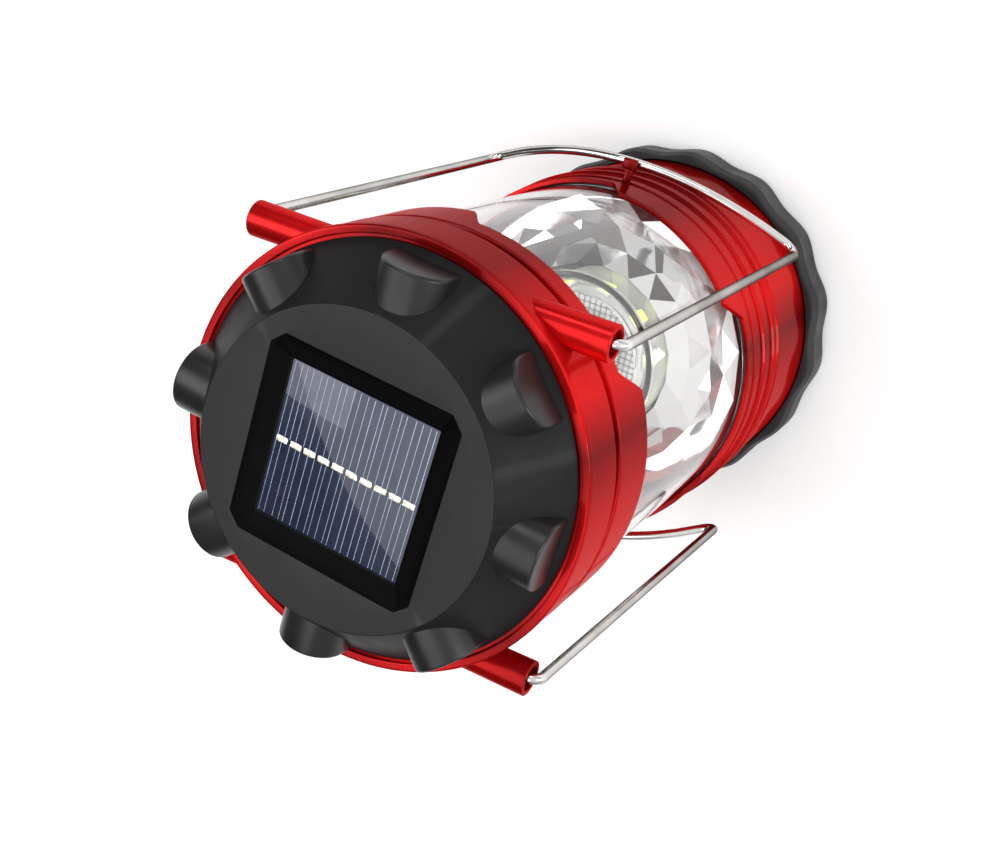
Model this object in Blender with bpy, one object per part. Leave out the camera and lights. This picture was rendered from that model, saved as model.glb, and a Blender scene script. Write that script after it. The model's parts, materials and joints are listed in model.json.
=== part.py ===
"""Collapsible solar camping lantern, standing on its base and pulled up to its full height.

Units are metres, +Z is up and the origin is the centre of the foot. MM turns the millimetre sizes
below into metres. The lantern telescopes in two stages: the clear lens slides in the base, and the
head slides on the lens. Two wire bails hinge in tubes on the head and fold down along the body.
"""

import math

import bmesh
import bpy
from mathutils import Matrix, Vector

MM = 0.001
GAP = 0.3  # clearance between pieces that would otherwise touch

# Driving dimensions, in millimetres
TOP_Z = 174.0  # top face of the cap
RIM_R = 44.0  # head's rim
SHELL_R = 43.8  # head's lower band
BORE_R = 42.0  # inside of both red shells
RIM_Z = 161.2
GROOVE_Z = 147.3
GROOVE_DEEP = 1.1
LEDGE_Z = (158.2, 160.2)
LEDGE_R = 34.5

HEAD_LOW_Z = 132.1  # long stretches of the head's stepped lower edge
HEAD_STEP = 8.3  # how far the edge rises over each cut-out
BASE_TOP_Z = 62.8  # low stretches of the base's stepped upper edge
BASE_STEP = 8.8  # how far each tab stands up
STEP_COUNT = 3
STEP_MIDDLE = 61.5  # azimuth of the first tab and cut-out, in degrees
CUTOUT_HALF = 33.5
TAB_HALF = 31.5
STEP_SLOPE = 7.0  # degrees that each sloped side of a step takes

CAP_TURN = -5.0  # the cap sits turned by this much against the tubes, in degrees
DISC_R = 31.3
CAP_R = 41.5
CAP_LOW_Z = 160.6
CAP_WALL = 2.2
NUB_COUNT = 8
NUB_HALF_WIDTH = 7.0
NUB_FACE_R = 40.0
NUB_TOP_DROP = 1.3
CELL_HALF = 16.0
CELL_THICK = 1.2
CELL_DROP = 1.6  # the cell's face under the cap's top
RECESS_HALF = 20.6
RECESS_CHAMFER = 3.3

TUBE_Y = 34.6
TUBE_Z = 154.8
TUBE_R = 3.65
TUBE_BORE_R = 2.5
TUBE_END_X = 38.7
TUBE_BORE_DEEP = 7.5

WIRE_R = 1.1
BAIL_TOP_X = 40.14
BAIL_LOW_X = 41.9
BAIL_LONG = 108.8
BAIL_LEAN = 1.1  # degrees that the legs lean out from the body
BAIL_ARCH_Y = 48.3  # middle of the crossbar, from the lantern's axis
BAIL_BOW = 12.0  # middle of the crossbar above its corners
BAIL_END_X = 33.5
BAIL_EYE_BEND = 2.4
BAIL_CORNER_BEND = 3.2
KEEPER_HALF = 1.8
KEEPER_HIGH = 1.6

LENS_R = 41.6
LENS_WALL = 1.5
LENS_Z = (61.0, 142.0)
RAIL_R = (39.0, 39.8)
RAIL_LOW_Z = 89.0
RAIL_HALF_WIDTH = 1.5
RAIL_COUNT = 3
RAIL_AZIMUTH = 77.0

BASE_R = 43.5
COLLAR_R = 43.2
COLLAR_Z = 58.8
RIDGE_R = 44.1
RIDGE_ZS = (51.7, 43.7, 39.7)
RIDGE_HALF = 0.9
BASE_LOW_Z = 2.5

RING_R = 46.3
RING_LOBE = 0.6
RING_LOBES = 16
RING_HIGH = 14.0
RING_BORE_R = 43.8
RING_LIP_R = 38.9
RING_LIP_HIGH = 2.2

CORE_R = 38.6
CORE_WALL = 2.0
DECK_Z = (54.0, 56.0)
DRUM_R = 22.0
DRUM_TOP_Z = 73.3
POST_R = 15.6  # the post that holds the LEDs upright inside the drum
LED_Z = (59.5, 65.0)
BOARD_THICK = 1.6
COVER_Z = (2.8, 4.8)
COVER_R = 36.3
BOSS_R = 33.6
SCREW_AZIMUTHS = (40.0, 130.0, 220.0, 310.0)
CAP_SCREW_R = 36.0
CELL_WIRE_X = 5.0
BOSS_HIGH_Z = 167.0
TOP_MIRROR_Z = (142.0, 143.4)
TRAY_R = 33.4
TRAY_FLANGE_Z = (156.2, 157.9)
TRAY_SHELF_Z = (146.5, 148.1)

BUTTON_Y = -27.5
SOCKET_Y = 27.5
CELL_AXIS_Z = 38.0
BATTERY_R = 9.0
BATTERY_HALF = 25.0


def clear_scene():
    for thing in list(bpy.data.objects):
        bpy.data.objects.remove(thing, do_unlink=True)


def material(name, color, roughness, metallic=0.0, transmission=0.0):
    mat = bpy.data.materials.new(name)
    mat.use_nodes = True
    shader = mat.node_tree.nodes["Principled BSDF"]
    shader.inputs["Base Color"].default_value = (*color, 1.0)
    shader.inputs["Roughness"].default_value = roughness
    shader.inputs["Metallic"].default_value = metallic
    shader.inputs["Transmission Weight"].default_value = transmission
    mat.diffuse_color = (*color, 1.0)
    return mat


def add_object(name, bm, mat, smooth=True):
    """Turns a bmesh in millimetres into a named object in metres."""
    bmesh.ops.recalc_face_normals(bm, faces=bm.faces)
    bmesh.ops.scale(bm, vec=(MM, MM, MM), verts=bm.verts)
    mesh = bpy.data.meshes.new(name)
    bm.to_mesh(mesh)
    bm.free()
    if smooth:
        mesh.shade_smooth()
        mesh.set_sharp_from_angle(angle=math.radians(32.0))
    thing = bpy.data.objects.new(name, mesh)
    bpy.context.collection.objects.link(thing)
    if mat is not None:
        mesh.materials.append(mat)
    return thing


def azimuths(count, extra=()):
    """Evenly spaced azimuths in degrees, with the extra ones put between them."""
    even = {round(360.0 * i / count, 3) for i in range(count)}
    return sorted(even | {round(a % 360.0, 3) for a in extra})


def lathe(name, profile, mat, columns=None, change=None):
    """A turned solid. The profile is a closed loop of (radius, z), or runs from the axis to the axis.

    change(index, azimuth, radius, z) may move a profile point for one column.
    """
    columns = columns or azimuths(40)
    bm = bmesh.new()
    rings = []
    for index, (radius, z) in enumerate(profile):
        if radius == 0.0:
            rings.append([bm.verts.new((0.0, 0.0, z))])
            continue
        ring = []
        for azimuth in columns:
            r, height = (radius, z) if change is None else change(index, azimuth, radius, z)
            angle = math.radians(azimuth)
            ring.append(bm.verts.new((r * math.cos(angle), r * math.sin(angle), height)))
        rings.append(ring)
    loops = list(zip(rings, rings[1:]))
    if profile[0][0] > 0.0:
        loops.append((rings[-1], rings[0]))
    count = len(columns)
    for upper, lower in loops:
        for i in range(count):
            j = (i + 1) % count
            corners = [upper[i % len(upper)], upper[j % len(upper)], lower[j % len(lower)], lower[i % len(lower)]]
            unique = list(dict.fromkeys(corners))
            if len(unique) > 2:
                bm.faces.new(unique)
    return add_object(name, bm, mat)


def disc(name, radius, low, high, mat, x=0.0, y=0.0, count=32):
    """A plain disc or rod along Z, its origin on its own axis."""
    thing = lathe(name, [(0.0, high), (radius, high), (radius, low), (0.0, low)], mat, azimuths(count))
    thing.location = (x * MM, y * MM, 0.0)
    return thing


def collar(name, inner, outer, low, high, mat, columns=None):
    """A plain ring with a square section."""
    return lathe(name, [(inner, high), (outer, high), (outer, low), (inner, low)], mat, columns)


def prism(name, outline, low, high, mat):
    """An outline in XY, extruded from low to high. Outlines may differ in size at the two ends."""
    bottom, top = outline if isinstance(outline, tuple) else (outline, outline)
    bm = bmesh.new()
    lower = [bm.verts.new((x, y, low)) for x, y in bottom]
    upper = [bm.verts.new((x, y, high)) for x, y in top]
    bm.faces.new(lower[::-1])
    bm.faces.new(upper)
    for i in range(len(lower)):
        j = (i + 1) % len(lower)
        bm.faces.new((lower[i], lower[j], upper[j], upper[i]))
    return add_object(name, bm, mat, smooth=False)


def box(name, x, y, z, mat):
    return prism(name, [(x[0], y[0]), (x[1], y[0]), (x[1], y[1]), (x[0], y[1])], z[0], z[1], mat)


def helper(thing):
    """Marks a cutter or a piece that another object takes in."""
    thing.hide_render = True
    thing.display_type = "WIRE"
    return thing


def boolean(target, other, operation):
    mod = target.modifiers.new(operation.lower(), "BOOLEAN")
    mod.operation = operation
    mod.solver = "EXACT"
    mod.object = helper(other)
    return target


def polar(radius, azimuth):
    angle = math.radians(azimuth)
    return radius * math.cos(angle), radius * math.sin(angle)


# The head


def step_share(azimuth, half):
    """0 away from the steps, 1 within them, and between on their sloped sides."""
    period = 360.0 / STEP_COUNT
    away = abs((azimuth - STEP_MIDDLE + period / 2) % period - period / 2)
    return min(1.0, max(0.0, (half - away) / STEP_SLOPE))


def step_columns(half):
    edges = []
    for k in range(STEP_COUNT):
        middle = STEP_MIDDLE + k * 360.0 / STEP_COUNT
        for side in (-1, 1):
            edges += [middle + side * half, middle + side * (half - STEP_SLOPE)]
    return azimuths(60, edges)


def upper_housing(red):
    groove_r = SHELL_R - GROOVE_DEEP
    profile = [
        (BORE_R, LEDGE_Z[1]),
        (BORE_R, RIM_Z - 0.4),
        (42.3, RIM_Z - 0.1),
        (43.7, RIM_Z + 0.1),
        (RIM_R, RIM_Z - 0.2),
        (RIM_R, GROOVE_Z + 1.5),
        (groove_r, GROOVE_Z + 1.1),
        (groove_r, GROOVE_Z - 1.1),
        (SHELL_R, GROOVE_Z - 1.5),
        (SHELL_R, HEAD_LOW_Z + 0.4),
        (SHELL_R - 0.4, HEAD_LOW_Z),
        (BORE_R, HEAD_LOW_Z),
        (BORE_R, LEDGE_Z[0]),
        (LEDGE_R, LEDGE_Z[0]),
        (LEDGE_R, LEDGE_Z[1]),
    ]

    def stepped(index, azimuth, radius, z):
        low_edge = z < HEAD_LOW_Z + 1.0
        return radius, z + (HEAD_STEP * step_share(azimuth, CUTOUT_HALF) if low_edge else 0.0)

    housing = lathe("upper_housing", profile, red, step_columns(CUTOUT_HALF), stepped)
    for side in (-1, 1):
        rod = tube_rod(f"tube_rod_{side}", TUBE_R, -TUBE_END_X, TUBE_END_X, side * TUBE_Y, 20)
        boolean(rod, helper(disc("tube_trim", 43.0, 140.0, 170.0, None, count=60)), "DIFFERENCE")
        boolean(housing, rod, "UNION")
        for end in (-1, 1):
            inner = end * (TUBE_END_X - TUBE_BORE_DEEP)
            outer = end * (TUBE_END_X + 2.0)
            bore = tube_rod("tube_bore", TUBE_BORE_R, inner, outer, side * TUBE_Y, 20)
            boolean(housing, bore, "DIFFERENCE")
    for azimuth in SCREW_AZIMUTHS:
        x, y = polar(CAP_SCREW_R, azimuth)
        boolean(housing, disc("ledge_hole", 1.6, 157.0, 161.5, None, x, y, 12), "DIFFERENCE")
    return housing


def tube_rod(name, radius, x0, x1, y, count):
    """A rod along X at the height of the bail tubes."""
    bm = bmesh.new()
    turn = Matrix.Rotation(math.pi / 2, 4, "Y")
    place = Matrix.Translation(((x0 + x1) / 2, y, TUBE_Z))
    bmesh.ops.create_cone(
        bm,
        cap_ends=True,
        segments=count,
        radius1=radius,
        radius2=radius,
        depth=abs(x1 - x0),
        matrix=place @ turn,
    )
    return add_object(name, bm, None)


def chamfered_square(half, chamfer):
    inner = half - chamfer
    corners = []
    for sx, sy in ((1, 1), (-1, 1), (-1, -1), (1, -1)):
        pair = [(sx * half, sy * inner), (sx * inner, sy * half)]
        corners += pair if sx * sy > 0 else pair[::-1]
    return corners


def turned(points):
    angle = math.radians(CAP_TURN)
    return [
        (x * math.cos(angle) - y * math.sin(angle), x * math.sin(angle) + y * math.cos(angle)) for x, y in points
    ]


def nub(name, azimuth):
    """A radial half-round peg with straight sides, cut off flat at its outer end."""
    axis_z = TOP_Z - NUB_TOP_DROP - NUB_HALF_WIDTH
    outline = [(NUB_HALF_WIDTH, CAP_LOW_Z + 0.7)]
    for k in range(13):
        angle = math.pi * k / 12
        outline.append((NUB_HALF_WIDTH * math.cos(angle), axis_z + NUB_HALF_WIDTH * math.sin(angle)))
    outline.append((-NUB_HALF_WIDTH, CAP_LOW_Z + 0.7))
    bm = bmesh.new()
    inner = [bm.verts.new((DISC_R - 2.3, y, z)) for y, z in outline]
    outer = [bm.verts.new((NUB_FACE_R, y, z)) for y, z in outline]
    bm.faces.new(inner)
    bm.faces.new(outer[::-1])
    for i in range(len(outline)):
        j = (i + 1) % len(outline)
        bm.faces.new((inner[i], outer[i], outer[j], inner[j]))
    bmesh.ops.rotate(bm, verts=bm.verts, matrix=Matrix.Rotation(math.radians(azimuth), 3, "Z"))
    return add_object(name, bm, None, smooth=False)


def solar_cap(black):
    slope = (TOP_Z - CAP_LOW_Z) / (CAP_R - DISC_R)
    under_z = TOP_Z - 4.4
    inner_r = CAP_R - CAP_WALL
    profile = [
        (0.0, TOP_Z),
        (DISC_R - 0.4, TOP_Z),
        (DISC_R + 0.1, TOP_Z - 0.3),
        (CAP_R, CAP_LOW_Z + 0.4),
        (CAP_R, CAP_LOW_Z),
        (inner_r, CAP_LOW_Z),
        (inner_r - (under_z - CAP_LOW_Z) / slope, under_z),
        (0.0, under_z),
    ]
    cap = lathe("solar_cap", profile, black, azimuths(60))
    for k in range(NUB_COUNT):
        boolean(cap, nub(f"nub_{k}", CAP_TURN + 45.0 * k), "UNION")
    bottom = turned(chamfered_square(CELL_HALF + 0.3, 0.4))
    mouth = RECESS_HALF + (RECESS_HALF - CELL_HALF) / CELL_DROP
    top = turned(chamfered_square(mouth, RECESS_CHAMFER + 0.6))
    frame = prism("recess_cutter", (bottom, top), TOP_Z - CELL_DROP, TOP_Z + 1.0, None)
    boolean(cap, frame, "DIFFERENCE")
    pocket = turned(chamfered_square(CELL_HALF + GAP, 0.3))
    floor_z = TOP_Z - CELL_DROP - CELL_THICK - GAP
    boolean(cap, prism("cell_pocket", pocket, floor_z, TOP_Z - CELL_DROP + 0.1, None), "DIFFERENCE")
    for x in (-CELL_WIRE_X, CELL_WIRE_X):
        boolean(cap, disc("wire_hole", 1.1, under_z - 1.0, floor_z + 0.5, None, x, 0.0, 12), "DIFFERENCE")
    for azimuth in SCREW_AZIMUTHS:
        x, y = polar(CAP_SCREW_R, azimuth)
        boolean(cap, disc("boss", 2.9, CAP_LOW_Z, BOSS_HIGH_Z, None, x, y, 16), "UNION")
        boolean(cap, disc("boss_hole", 1.5, CAP_LOW_Z - 1.0, BOSS_HIGH_Z - 0.8, None, x, y, 12), "DIFFERENCE")
    return cap


def solar_cell(navy):
    high = TOP_Z - CELL_DROP
    return prism("solar_cell", turned(chamfered_square(CELL_HALF, 0.3)), high - CELL_THICK, high, navy)


def head_inside(white, board, chrome, steel, copper):
    """The reflector that closes the head from below, with the tray, board and wires over it."""
    mirror_low, mirror_high = TOP_MIRROR_Z
    lathe(
        "upper_reflector",
        [
            (0.0, mirror_high),
            (CORE_R - 0.3, mirror_high),
            (CORE_R, mirror_low),
            (12.0, mirror_low),
            (0.0, mirror_low + 0.6),
        ],
        chrome,
    )
    flange_low, flange_high = TRAY_FLANGE_Z
    shelf_low, shelf_high = TRAY_SHELF_Z
    wall_in = TRAY_R - 1.6
    foot = mirror_high + GAP
    tray = lathe(
        "head_tray",
        [
            (TRAY_R, foot),
            (TRAY_R, flange_low),
            (CORE_R - 0.4, flange_low),
            (CORE_R - 0.4, flange_high),
            (wall_in, flange_high),
            (wall_in, shelf_high),
            (19.0, shelf_high),
            (19.0, shelf_low),
            (wall_in, shelf_low),
            (wall_in, foot),
        ],
        white,
    )
    board_low = shelf_high + GAP
    board_high = board_low + BOARD_THICK
    disc("charge_board", 21.5, board_low, board_high, board)
    box("charge_diode", (8.0, 12.5), (-1.4, 1.4), (board_high + GAP, board_high + 2.6), copper["black"])
    wire_top = TOP_Z - CELL_DROP - CELL_THICK - GAP
    for name, color, x in (("cell_wire_pos", "red", CELL_WIRE_X), ("cell_wire_neg", "black", -CELL_WIRE_X)):
        disc(name, 0.6, board_high + 0.6, wire_top, copper[color], x, 0.0, 10)
    for k, azimuth in enumerate(SCREW_AZIMUTHS):
        x, y = polar(CAP_SCREW_R, azimuth)
        boolean(tray, disc("tray_hole", 1.6, flange_low - 1.0, flange_high + 1.0, None, x, y, 12), "DIFFERENCE")
        screw(f"cap_screw_{k + 1}", x, y, flange_low - GAP, BOSS_HIGH_Z - 1.2, steel)


def screw(name, x, y, seat_z, tip_z, steel):
    """A pan-head screw driven upwards, its head under seat_z, with a cross slot in the head."""
    head_z = seat_z - 1.5
    thing = lathe(
        name,
        [(0.0, tip_z), (0.5, tip_z), (1.2, tip_z - 1.2), (1.2, seat_z), (2.3, seat_z), (2.0, head_z), (0.0, head_z)],
        steel,
        azimuths(16),
    )
    thing.location = (x * MM, y * MM, 0.0)
    for along in (True, False):
        long, short = (-1.5, 1.5), (-0.3, 0.3)
        slot = box("slot", long if along else short, short if along else long, (head_z - 1, head_z + 0.6), None)
        slot.location = thing.location
        boolean(thing, slot, "DIFFERENCE")
    return thing


# The bails


def arc(centre, start, end, radius, steps):
    """Points on the rounded corner between two straight runs that meet at centre."""
    a = (start - centre).normalized()
    b = (end - centre).normalized()
    half = a.angle(b) / 2
    reach = radius / math.tan(half)
    hub = centre + (a + b).normalized() * (radius / math.sin(half))
    first = centre + a * reach - hub
    last = centre + b * reach - hub
    return [hub + slerp(first, last, k / steps) for k in range(steps + 1)]


def slerp(first, last, share):
    angle = first.angle(last)
    return (first * math.sin((1 - share) * angle) + last * math.sin(share * angle)) / math.sin(angle)


def bail_path():
    """One bail's centre line, from its hinge axis: +Y is away from the body and -Z is down the legs."""
    lean = math.radians(BAIL_LEAN)
    low_y = BAIL_LONG * math.sin(lean)
    low_z = -BAIL_LONG * math.cos(lean)
    rise = BAIL_ARCH_Y - TUBE_Y - low_y
    bar = []
    steps = 14
    for k in range(steps + 1):
        share = 2.0 * k / steps - 1.0
        swell = 1.0 - share * share
        bar.append(Vector((share * BAIL_LOW_X, low_y + rise * swell, low_z + BAIL_BOW * swell)))
    eye = Vector((BAIL_TOP_X, 0.0, 0.0))
    right = [Vector((BAIL_END_X, 0.0, 0.0))]
    right += arc(eye, right[0], bar[-1], BAIL_EYE_BEND, 4)
    right += arc(bar[-1], eye, bar[-2], BAIL_CORNER_BEND, 4)
    left = [Vector((-p.x, p.y, p.z)) for p in right]
    return left + bar[2:-2] + right[::-1]


def bail(name, side, chrome):
    curve = bpy.data.curves.new(name, "CURVE")
    curve.dimensions = "3D"
    curve.bevel_depth = WIRE_R * MM
    curve.bevel_resolution = 2
    curve.use_fill_caps = True
    points = bail_path()
    spline = curve.splines.new("POLY")
    spline.points.add(len(points) - 1)
    for slot, point in zip(spline.points, points):
        slot.co = (point.x * MM, side * point.y * MM, point.z * MM, 1.0)
    spline.use_smooth = True
    curve.materials.append(chrome)
    thing = bpy.data.objects.new(name, curve)
    bpy.context.collection.objects.link(thing)
    thing.location = (0.0, side * TUBE_Y * MM, TUBE_Z * MM)
    return thing


# The lens stage


def lens_stage(clear, rail, rubber):
    inner = LENS_R - LENS_WALL
    low, high = LENS_Z
    collar("lens_tube", inner, LENS_R, low, high, clear, azimuths(60))
    collar("friction_ring", inner, BORE_R - GAP, low - 2.2, low - GAP, rubber, azimuths(60))
    for k in range(RAIL_COUNT):
        half = math.degrees(RAIL_HALF_WIDTH / RAIL_R[0])
        middle = RAIL_AZIMUTH + 360.0 * k / RAIL_COUNT
        spread = [middle + half * share for share in (-1, 0, 1)]
        outline = [polar(RAIL_R[0], a) for a in spread] + [polar(RAIL_R[1], a) for a in spread[::-1]]
        prism(f"guide_rail_{k + 1}", outline, RAIL_LOW_Z, LENS_Z[1], rail)


# The base


def base_housing(red):
    profile = [
        (BORE_R, BASE_TOP_Z),
        (COLLAR_R - 0.3, BASE_TOP_Z),
        (COLLAR_R, BASE_TOP_Z - 0.3),
        (COLLAR_R, COLLAR_Z),
        (BASE_R, COLLAR_Z - 0.3),
    ]
    for z in RIDGE_ZS:
        profile += [
            (BASE_R, z + RIDGE_HALF),
            (RIDGE_R, z + RIDGE_HALF * 0.4),
            (RIDGE_R, z - RIDGE_HALF * 0.4),
            (BASE_R, z - RIDGE_HALF),
        ]
    profile += [(BASE_R, BASE_LOW_Z), (BORE_R, BASE_LOW_Z)]

    def stepped(index, azimuth, radius, z):
        top_edge = z > BASE_TOP_Z - 1.0
        return radius, z + (BASE_STEP * step_share(azimuth, TAB_HALF) if top_edge else 0.0)

    housing = lathe("base_housing", profile, red, step_columns(TAB_HALF), stepped)
    wire_z = TUBE_Z - BAIL_LONG * math.cos(math.radians(BAIL_LEAN)) + BAIL_BOW
    low = wire_z + WIRE_R + 0.4
    for side in (-1, 1):
        y = sorted((side * 42.7, side * 49.3))
        keeper = box("keeper", (-KEEPER_HALF, KEEPER_HALF), y, (low, low + KEEPER_HIGH), None)
        boolean(housing, keeper, "UNION")
    return housing


def rubber_ring(rubber):
    profile = [
        (RING_BORE_R, RING_HIGH),
        (RING_R - 1.2, RING_HIGH),
        (RING_R - 0.3, RING_HIGH - 1.0),
        (RING_R, RING_HIGH - 3.0),
        (RING_R, 2.0),
        (RING_R - 0.6, 0.6),
        (RING_R - 1.6, 0.0),
        (RING_LIP_R, 0.0),
        (RING_LIP_R, RING_LIP_HIGH),
        (RING_BORE_R, RING_LIP_HIGH),
    ]

    def lobed(index, azimuth, radius, z):
        lobe = RING_LOBE * math.cos(math.radians(RING_LOBES * azimuth))
        return (radius + lobe if radius > RING_BORE_R + 0.5 else radius), z

    return lathe("rubber_ring", profile, rubber, azimuths(RING_LOBES * 5), lobed)


def core_frame(black):
    inner = CORE_R - CORE_WALL
    core = lathe(
        "core_frame",
        [
            (4.0, DECK_Z[1]),
            (CORE_R, DECK_Z[1]),
            (CORE_R, 5.3),
            (41.7, 5.3),
            (41.7, BASE_LOW_Z),
            (inner, BASE_LOW_Z),
            (inner, DECK_Z[0]),
            (4.0, DECK_Z[0]),
        ],
        black,
    )
    for azimuth in SCREW_AZIMUTHS:
        x, y = polar(BOSS_R, azimuth)
        boolean(core, disc("core_boss", 3.4, COVER_Z[1] + GAP, 18.0, None, x, y, 16), "UNION")
        boolean(core, disc("core_hole", 1.5, 4.0, 14.0, None, x, y, 12), "DIFFERENCE")
    return core


def lamp(chrome, clear, board, white, phosphor):
    lathe(
        "lower_reflector",
        [
            (DRUM_R + GAP, 63.0),
            (DRUM_R + 1.0, 63.4),
            (31.8, 58.4),
            (38.0, 57.8),
            (38.4, 57.4),
            (38.4, 56.4),
            (31.8, 56.9),
            (DRUM_R + GAP, 61.6),
        ],
        chrome,
        azimuths(60),
    )
    lathe(
        "lamp_cover",
        [
            (0.0, 69.2),
            (17.0, 70.6),
            (20.6, DRUM_TOP_Z - 0.3),
            (21.0, DRUM_TOP_Z),
            (DRUM_R - 0.3, DRUM_TOP_Z),
            (DRUM_R, DRUM_TOP_Z - 0.3),
            (DRUM_R, DECK_Z[1] + GAP),
            (20.5, DECK_Z[1] + GAP),
            (20.5, 71.6),
            (17.0, 68.9),
            (0.0, 67.6),
        ],
        clear,
    )
    low = DECK_Z[1] + GAP
    board_top = low + BOARD_THICK
    collar("led_board", 5.0, 20.0, low, board_top, board)
    collar("led_post", POST_R - 3.0, POST_R, board_top + GAP, 67.0, white)
    collar("led_ring", POST_R + GAP, POST_R + 1.8, *LED_Z, phosphor)


def power(battery, black, board, steel):
    cell = disc("battery_cell", BATTERY_R, -BATTERY_HALF, BATTERY_HALF, battery, count=24)
    cell.rotation_euler = (0.0, math.pi / 2, 0.0)
    cell.location = (0.0, 0.0, CELL_AXIS_Z * MM)
    holder = box("battery_holder", (-30.0, 30.0), (-9.3, 9.3), (27.0, 44.0), black)
    trough = box("holder_trough", (-28.4, 28.4), (-10.0, 10.0), (28.6, 50.0), None)
    boolean(holder, trough, "DIFFERENCE")
    coil = bpy.data.curves.new("battery_spring", "CURVE")
    coil.dimensions = "3D"
    coil.bevel_depth = 0.35 * MM
    coil.bevel_resolution = 1
    coil.use_fill_caps = True
    turns, per_turn = 2.5, 12
    count = int(turns * per_turn) + 1
    spline = coil.splines.new("POLY")
    spline.points.add(count - 1)
    for k, slot in enumerate(spline.points):
        share = k / (count - 1)
        angle = 2 * math.pi * turns * share
        radius = 4.5 - 1.8 * share
        x = -28.4 + 0.7 + 2.0 * share
        place = (x * MM, radius * math.cos(angle) * MM, radius * math.sin(angle) * MM, 1.0)
        slot.co = place
    coil.materials.append(steel)
    spring = bpy.data.objects.new("battery_spring", coil)
    bpy.context.collection.objects.link(spring)
    spring.location = (0.0, 0.0, CELL_AXIS_Z * MM)
    disc("control_board", 28.0, 48.8, 50.4, board, count=32)
    box("control_chip", (-4.0, 4.0), (6.0, 12.0), (50.7, 52.3), black)
    disc("reservoir_capacitor", 3.0, 41.0, 48.5, black, 0.0, 16.0, 16)


def torch(chrome, clear, board, phosphor, black):
    lathe(
        "torch_bezel",
        [(16.4, 5.2), (18.3, 5.2), (18.3, 2.5), (19.8, 2.5), (19.8, 1.7), (16.4, 1.7)],
        black,
    )
    disc("torch_lens", 16.1, 2.3, 3.9, clear, count=48)
    wide, narrow, mouth_z, apex_z = 17.0, 3.4, 5.5, 23.8
    focal = (wide**2 - narrow**2) / (apex_z - mouth_z)
    steps = 7
    inside = []
    for k in range(steps + 1):
        radius = wide + (narrow - wide) * k / steps
        inside.append((radius, mouth_z + (wide**2 - radius**2) / focal))
    outside = [(r + 1.1, z + 0.2) for r, z in inside[::-1]]
    outside[-1] = (wide + 1.1, mouth_z)
    lathe("torch_reflector", inside + outside, chrome, azimuths(36))
    disc("torch_board", 9.0, 24.5, 26.0, board, count=24)
    dome = [(0.0, 21.4), (1.2, 21.6), (2.1, 22.5), (2.4, 24.2), (0.0, 24.2)]
    lathe("torch_led", dome, phosphor, azimuths(20))


def bottom(black, steel, rubber):
    low, high = COVER_Z
    columns = [azimuth + 2.0 for azimuth in azimuths(48)]
    cover = lathe("bottom_cover", [(18.6, high), (COVER_R, high), (COVER_R, low), (18.6, low)], black, columns)
    boolean(cover, disc("button_hole", 4.3, low - 1, high + 1, None, 0.0, BUTTON_Y, 24), "DIFFERENCE")
    socket_hole = box("socket_hole", (-5.3, 5.3), (SOCKET_Y - 3.3, SOCKET_Y + 3.3), (low - 1, high + 1), None)
    boolean(cover, socket_hole, "DIFFERENCE")
    for k, azimuth in enumerate(SCREW_AZIMUTHS):
        x, y = polar(BOSS_R, azimuth)
        boolean(cover, disc("cover_hole", 1.5, low - 1, high + 1, None, x, y, 12), "DIFFERENCE")
        screw(f"bottom_screw_{k + 1}", x, y, low - GAP, 12.5, steel)
    socket = box("charge_socket", (-5.0, 5.0), (SOCKET_Y - 3.0, SOCKET_Y + 3.0), (low + 0.2, 12.0), steel)
    mouth = box("socket_mouth", (-4.3, 4.3), (SOCKET_Y - 1.5, SOCKET_Y + 1.5), (low - 1, 9.0), None)
    boolean(socket, mouth, "DIFFERENCE")
    box("tact_switch", (-6.0, 6.0), (BUTTON_Y - 3.0, BUTTON_Y + 3.0), (9.3, 13.3), black)
    button = lathe(
        "power_button",
        [(0.0, 7.8), (1.5, 7.8), (1.5, 6.3), (5.2, 6.3), (5.2, 5.1), (4.0, 5.1), (4.0, 1.6), (3.4, 1.2), (0.0, 1.2)],
        rubber,
        azimuths(24),
    )
    button.location = (0.0, BUTTON_Y * MM, 0.0)


def main():
    clear_scene()
    red = material("candy_red", (0.62, 0.01, 0.015), 0.22, 0.85)
    black = material("black_abs", (0.035, 0.035, 0.037), 0.45)
    white = material("white_abs", (0.8, 0.8, 0.79), 0.5)
    rubber = material("black_rubber", (0.02, 0.02, 0.022), 0.7)
    chrome = material("chrome_wire", (0.78, 0.77, 0.75), 0.12, 1.0)
    mirror = material("plated_reflector", (0.86, 0.86, 0.87), 0.08, 1.0)
    clear = material("clear_lens", (0.95, 0.96, 0.96), 0.05, 0.0, 0.95)
    navy = material("solar_silicon", (0.10, 0.13, 0.22), 0.2)
    board = material("circuit_board", (0.82, 0.84, 0.8), 0.5)
    green = material("green_board", (0.03, 0.2, 0.08), 0.5)
    steel = material("plated_steel", (0.6, 0.6, 0.58), 0.3, 1.0)
    rail = material("rail_metal", (0.5, 0.51, 0.52), 0.35, 0.8)
    phosphor = material("led_phosphor", (0.86, 0.82, 0.2), 0.5)
    wrap = material("battery_wrap", (0.08, 0.25, 0.5), 0.4)
    wires = {
        "red": material("wire_red", (0.55, 0.03, 0.03), 0.5),
        "black": material("wire_black", (0.03, 0.03, 0.03), 0.5),
    }

    upper_housing(red)
    solar_cap(black)
    solar_cell(navy)
    head_inside(white, green, mirror, steel, wires)
    bail("rear_bail", 1, chrome)
    bail("front_bail", -1, chrome)
    lens_stage(clear, rail, rubber)
    base_housing(red)
    rubber_ring(rubber)
    core_frame(black)
    lamp(mirror, clear, board, white, phosphor)
    power(wrap, black, green, steel)
    torch(mirror, clear, board, phosphor, black)
    bottom(black, steel, rubber)


main()
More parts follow.
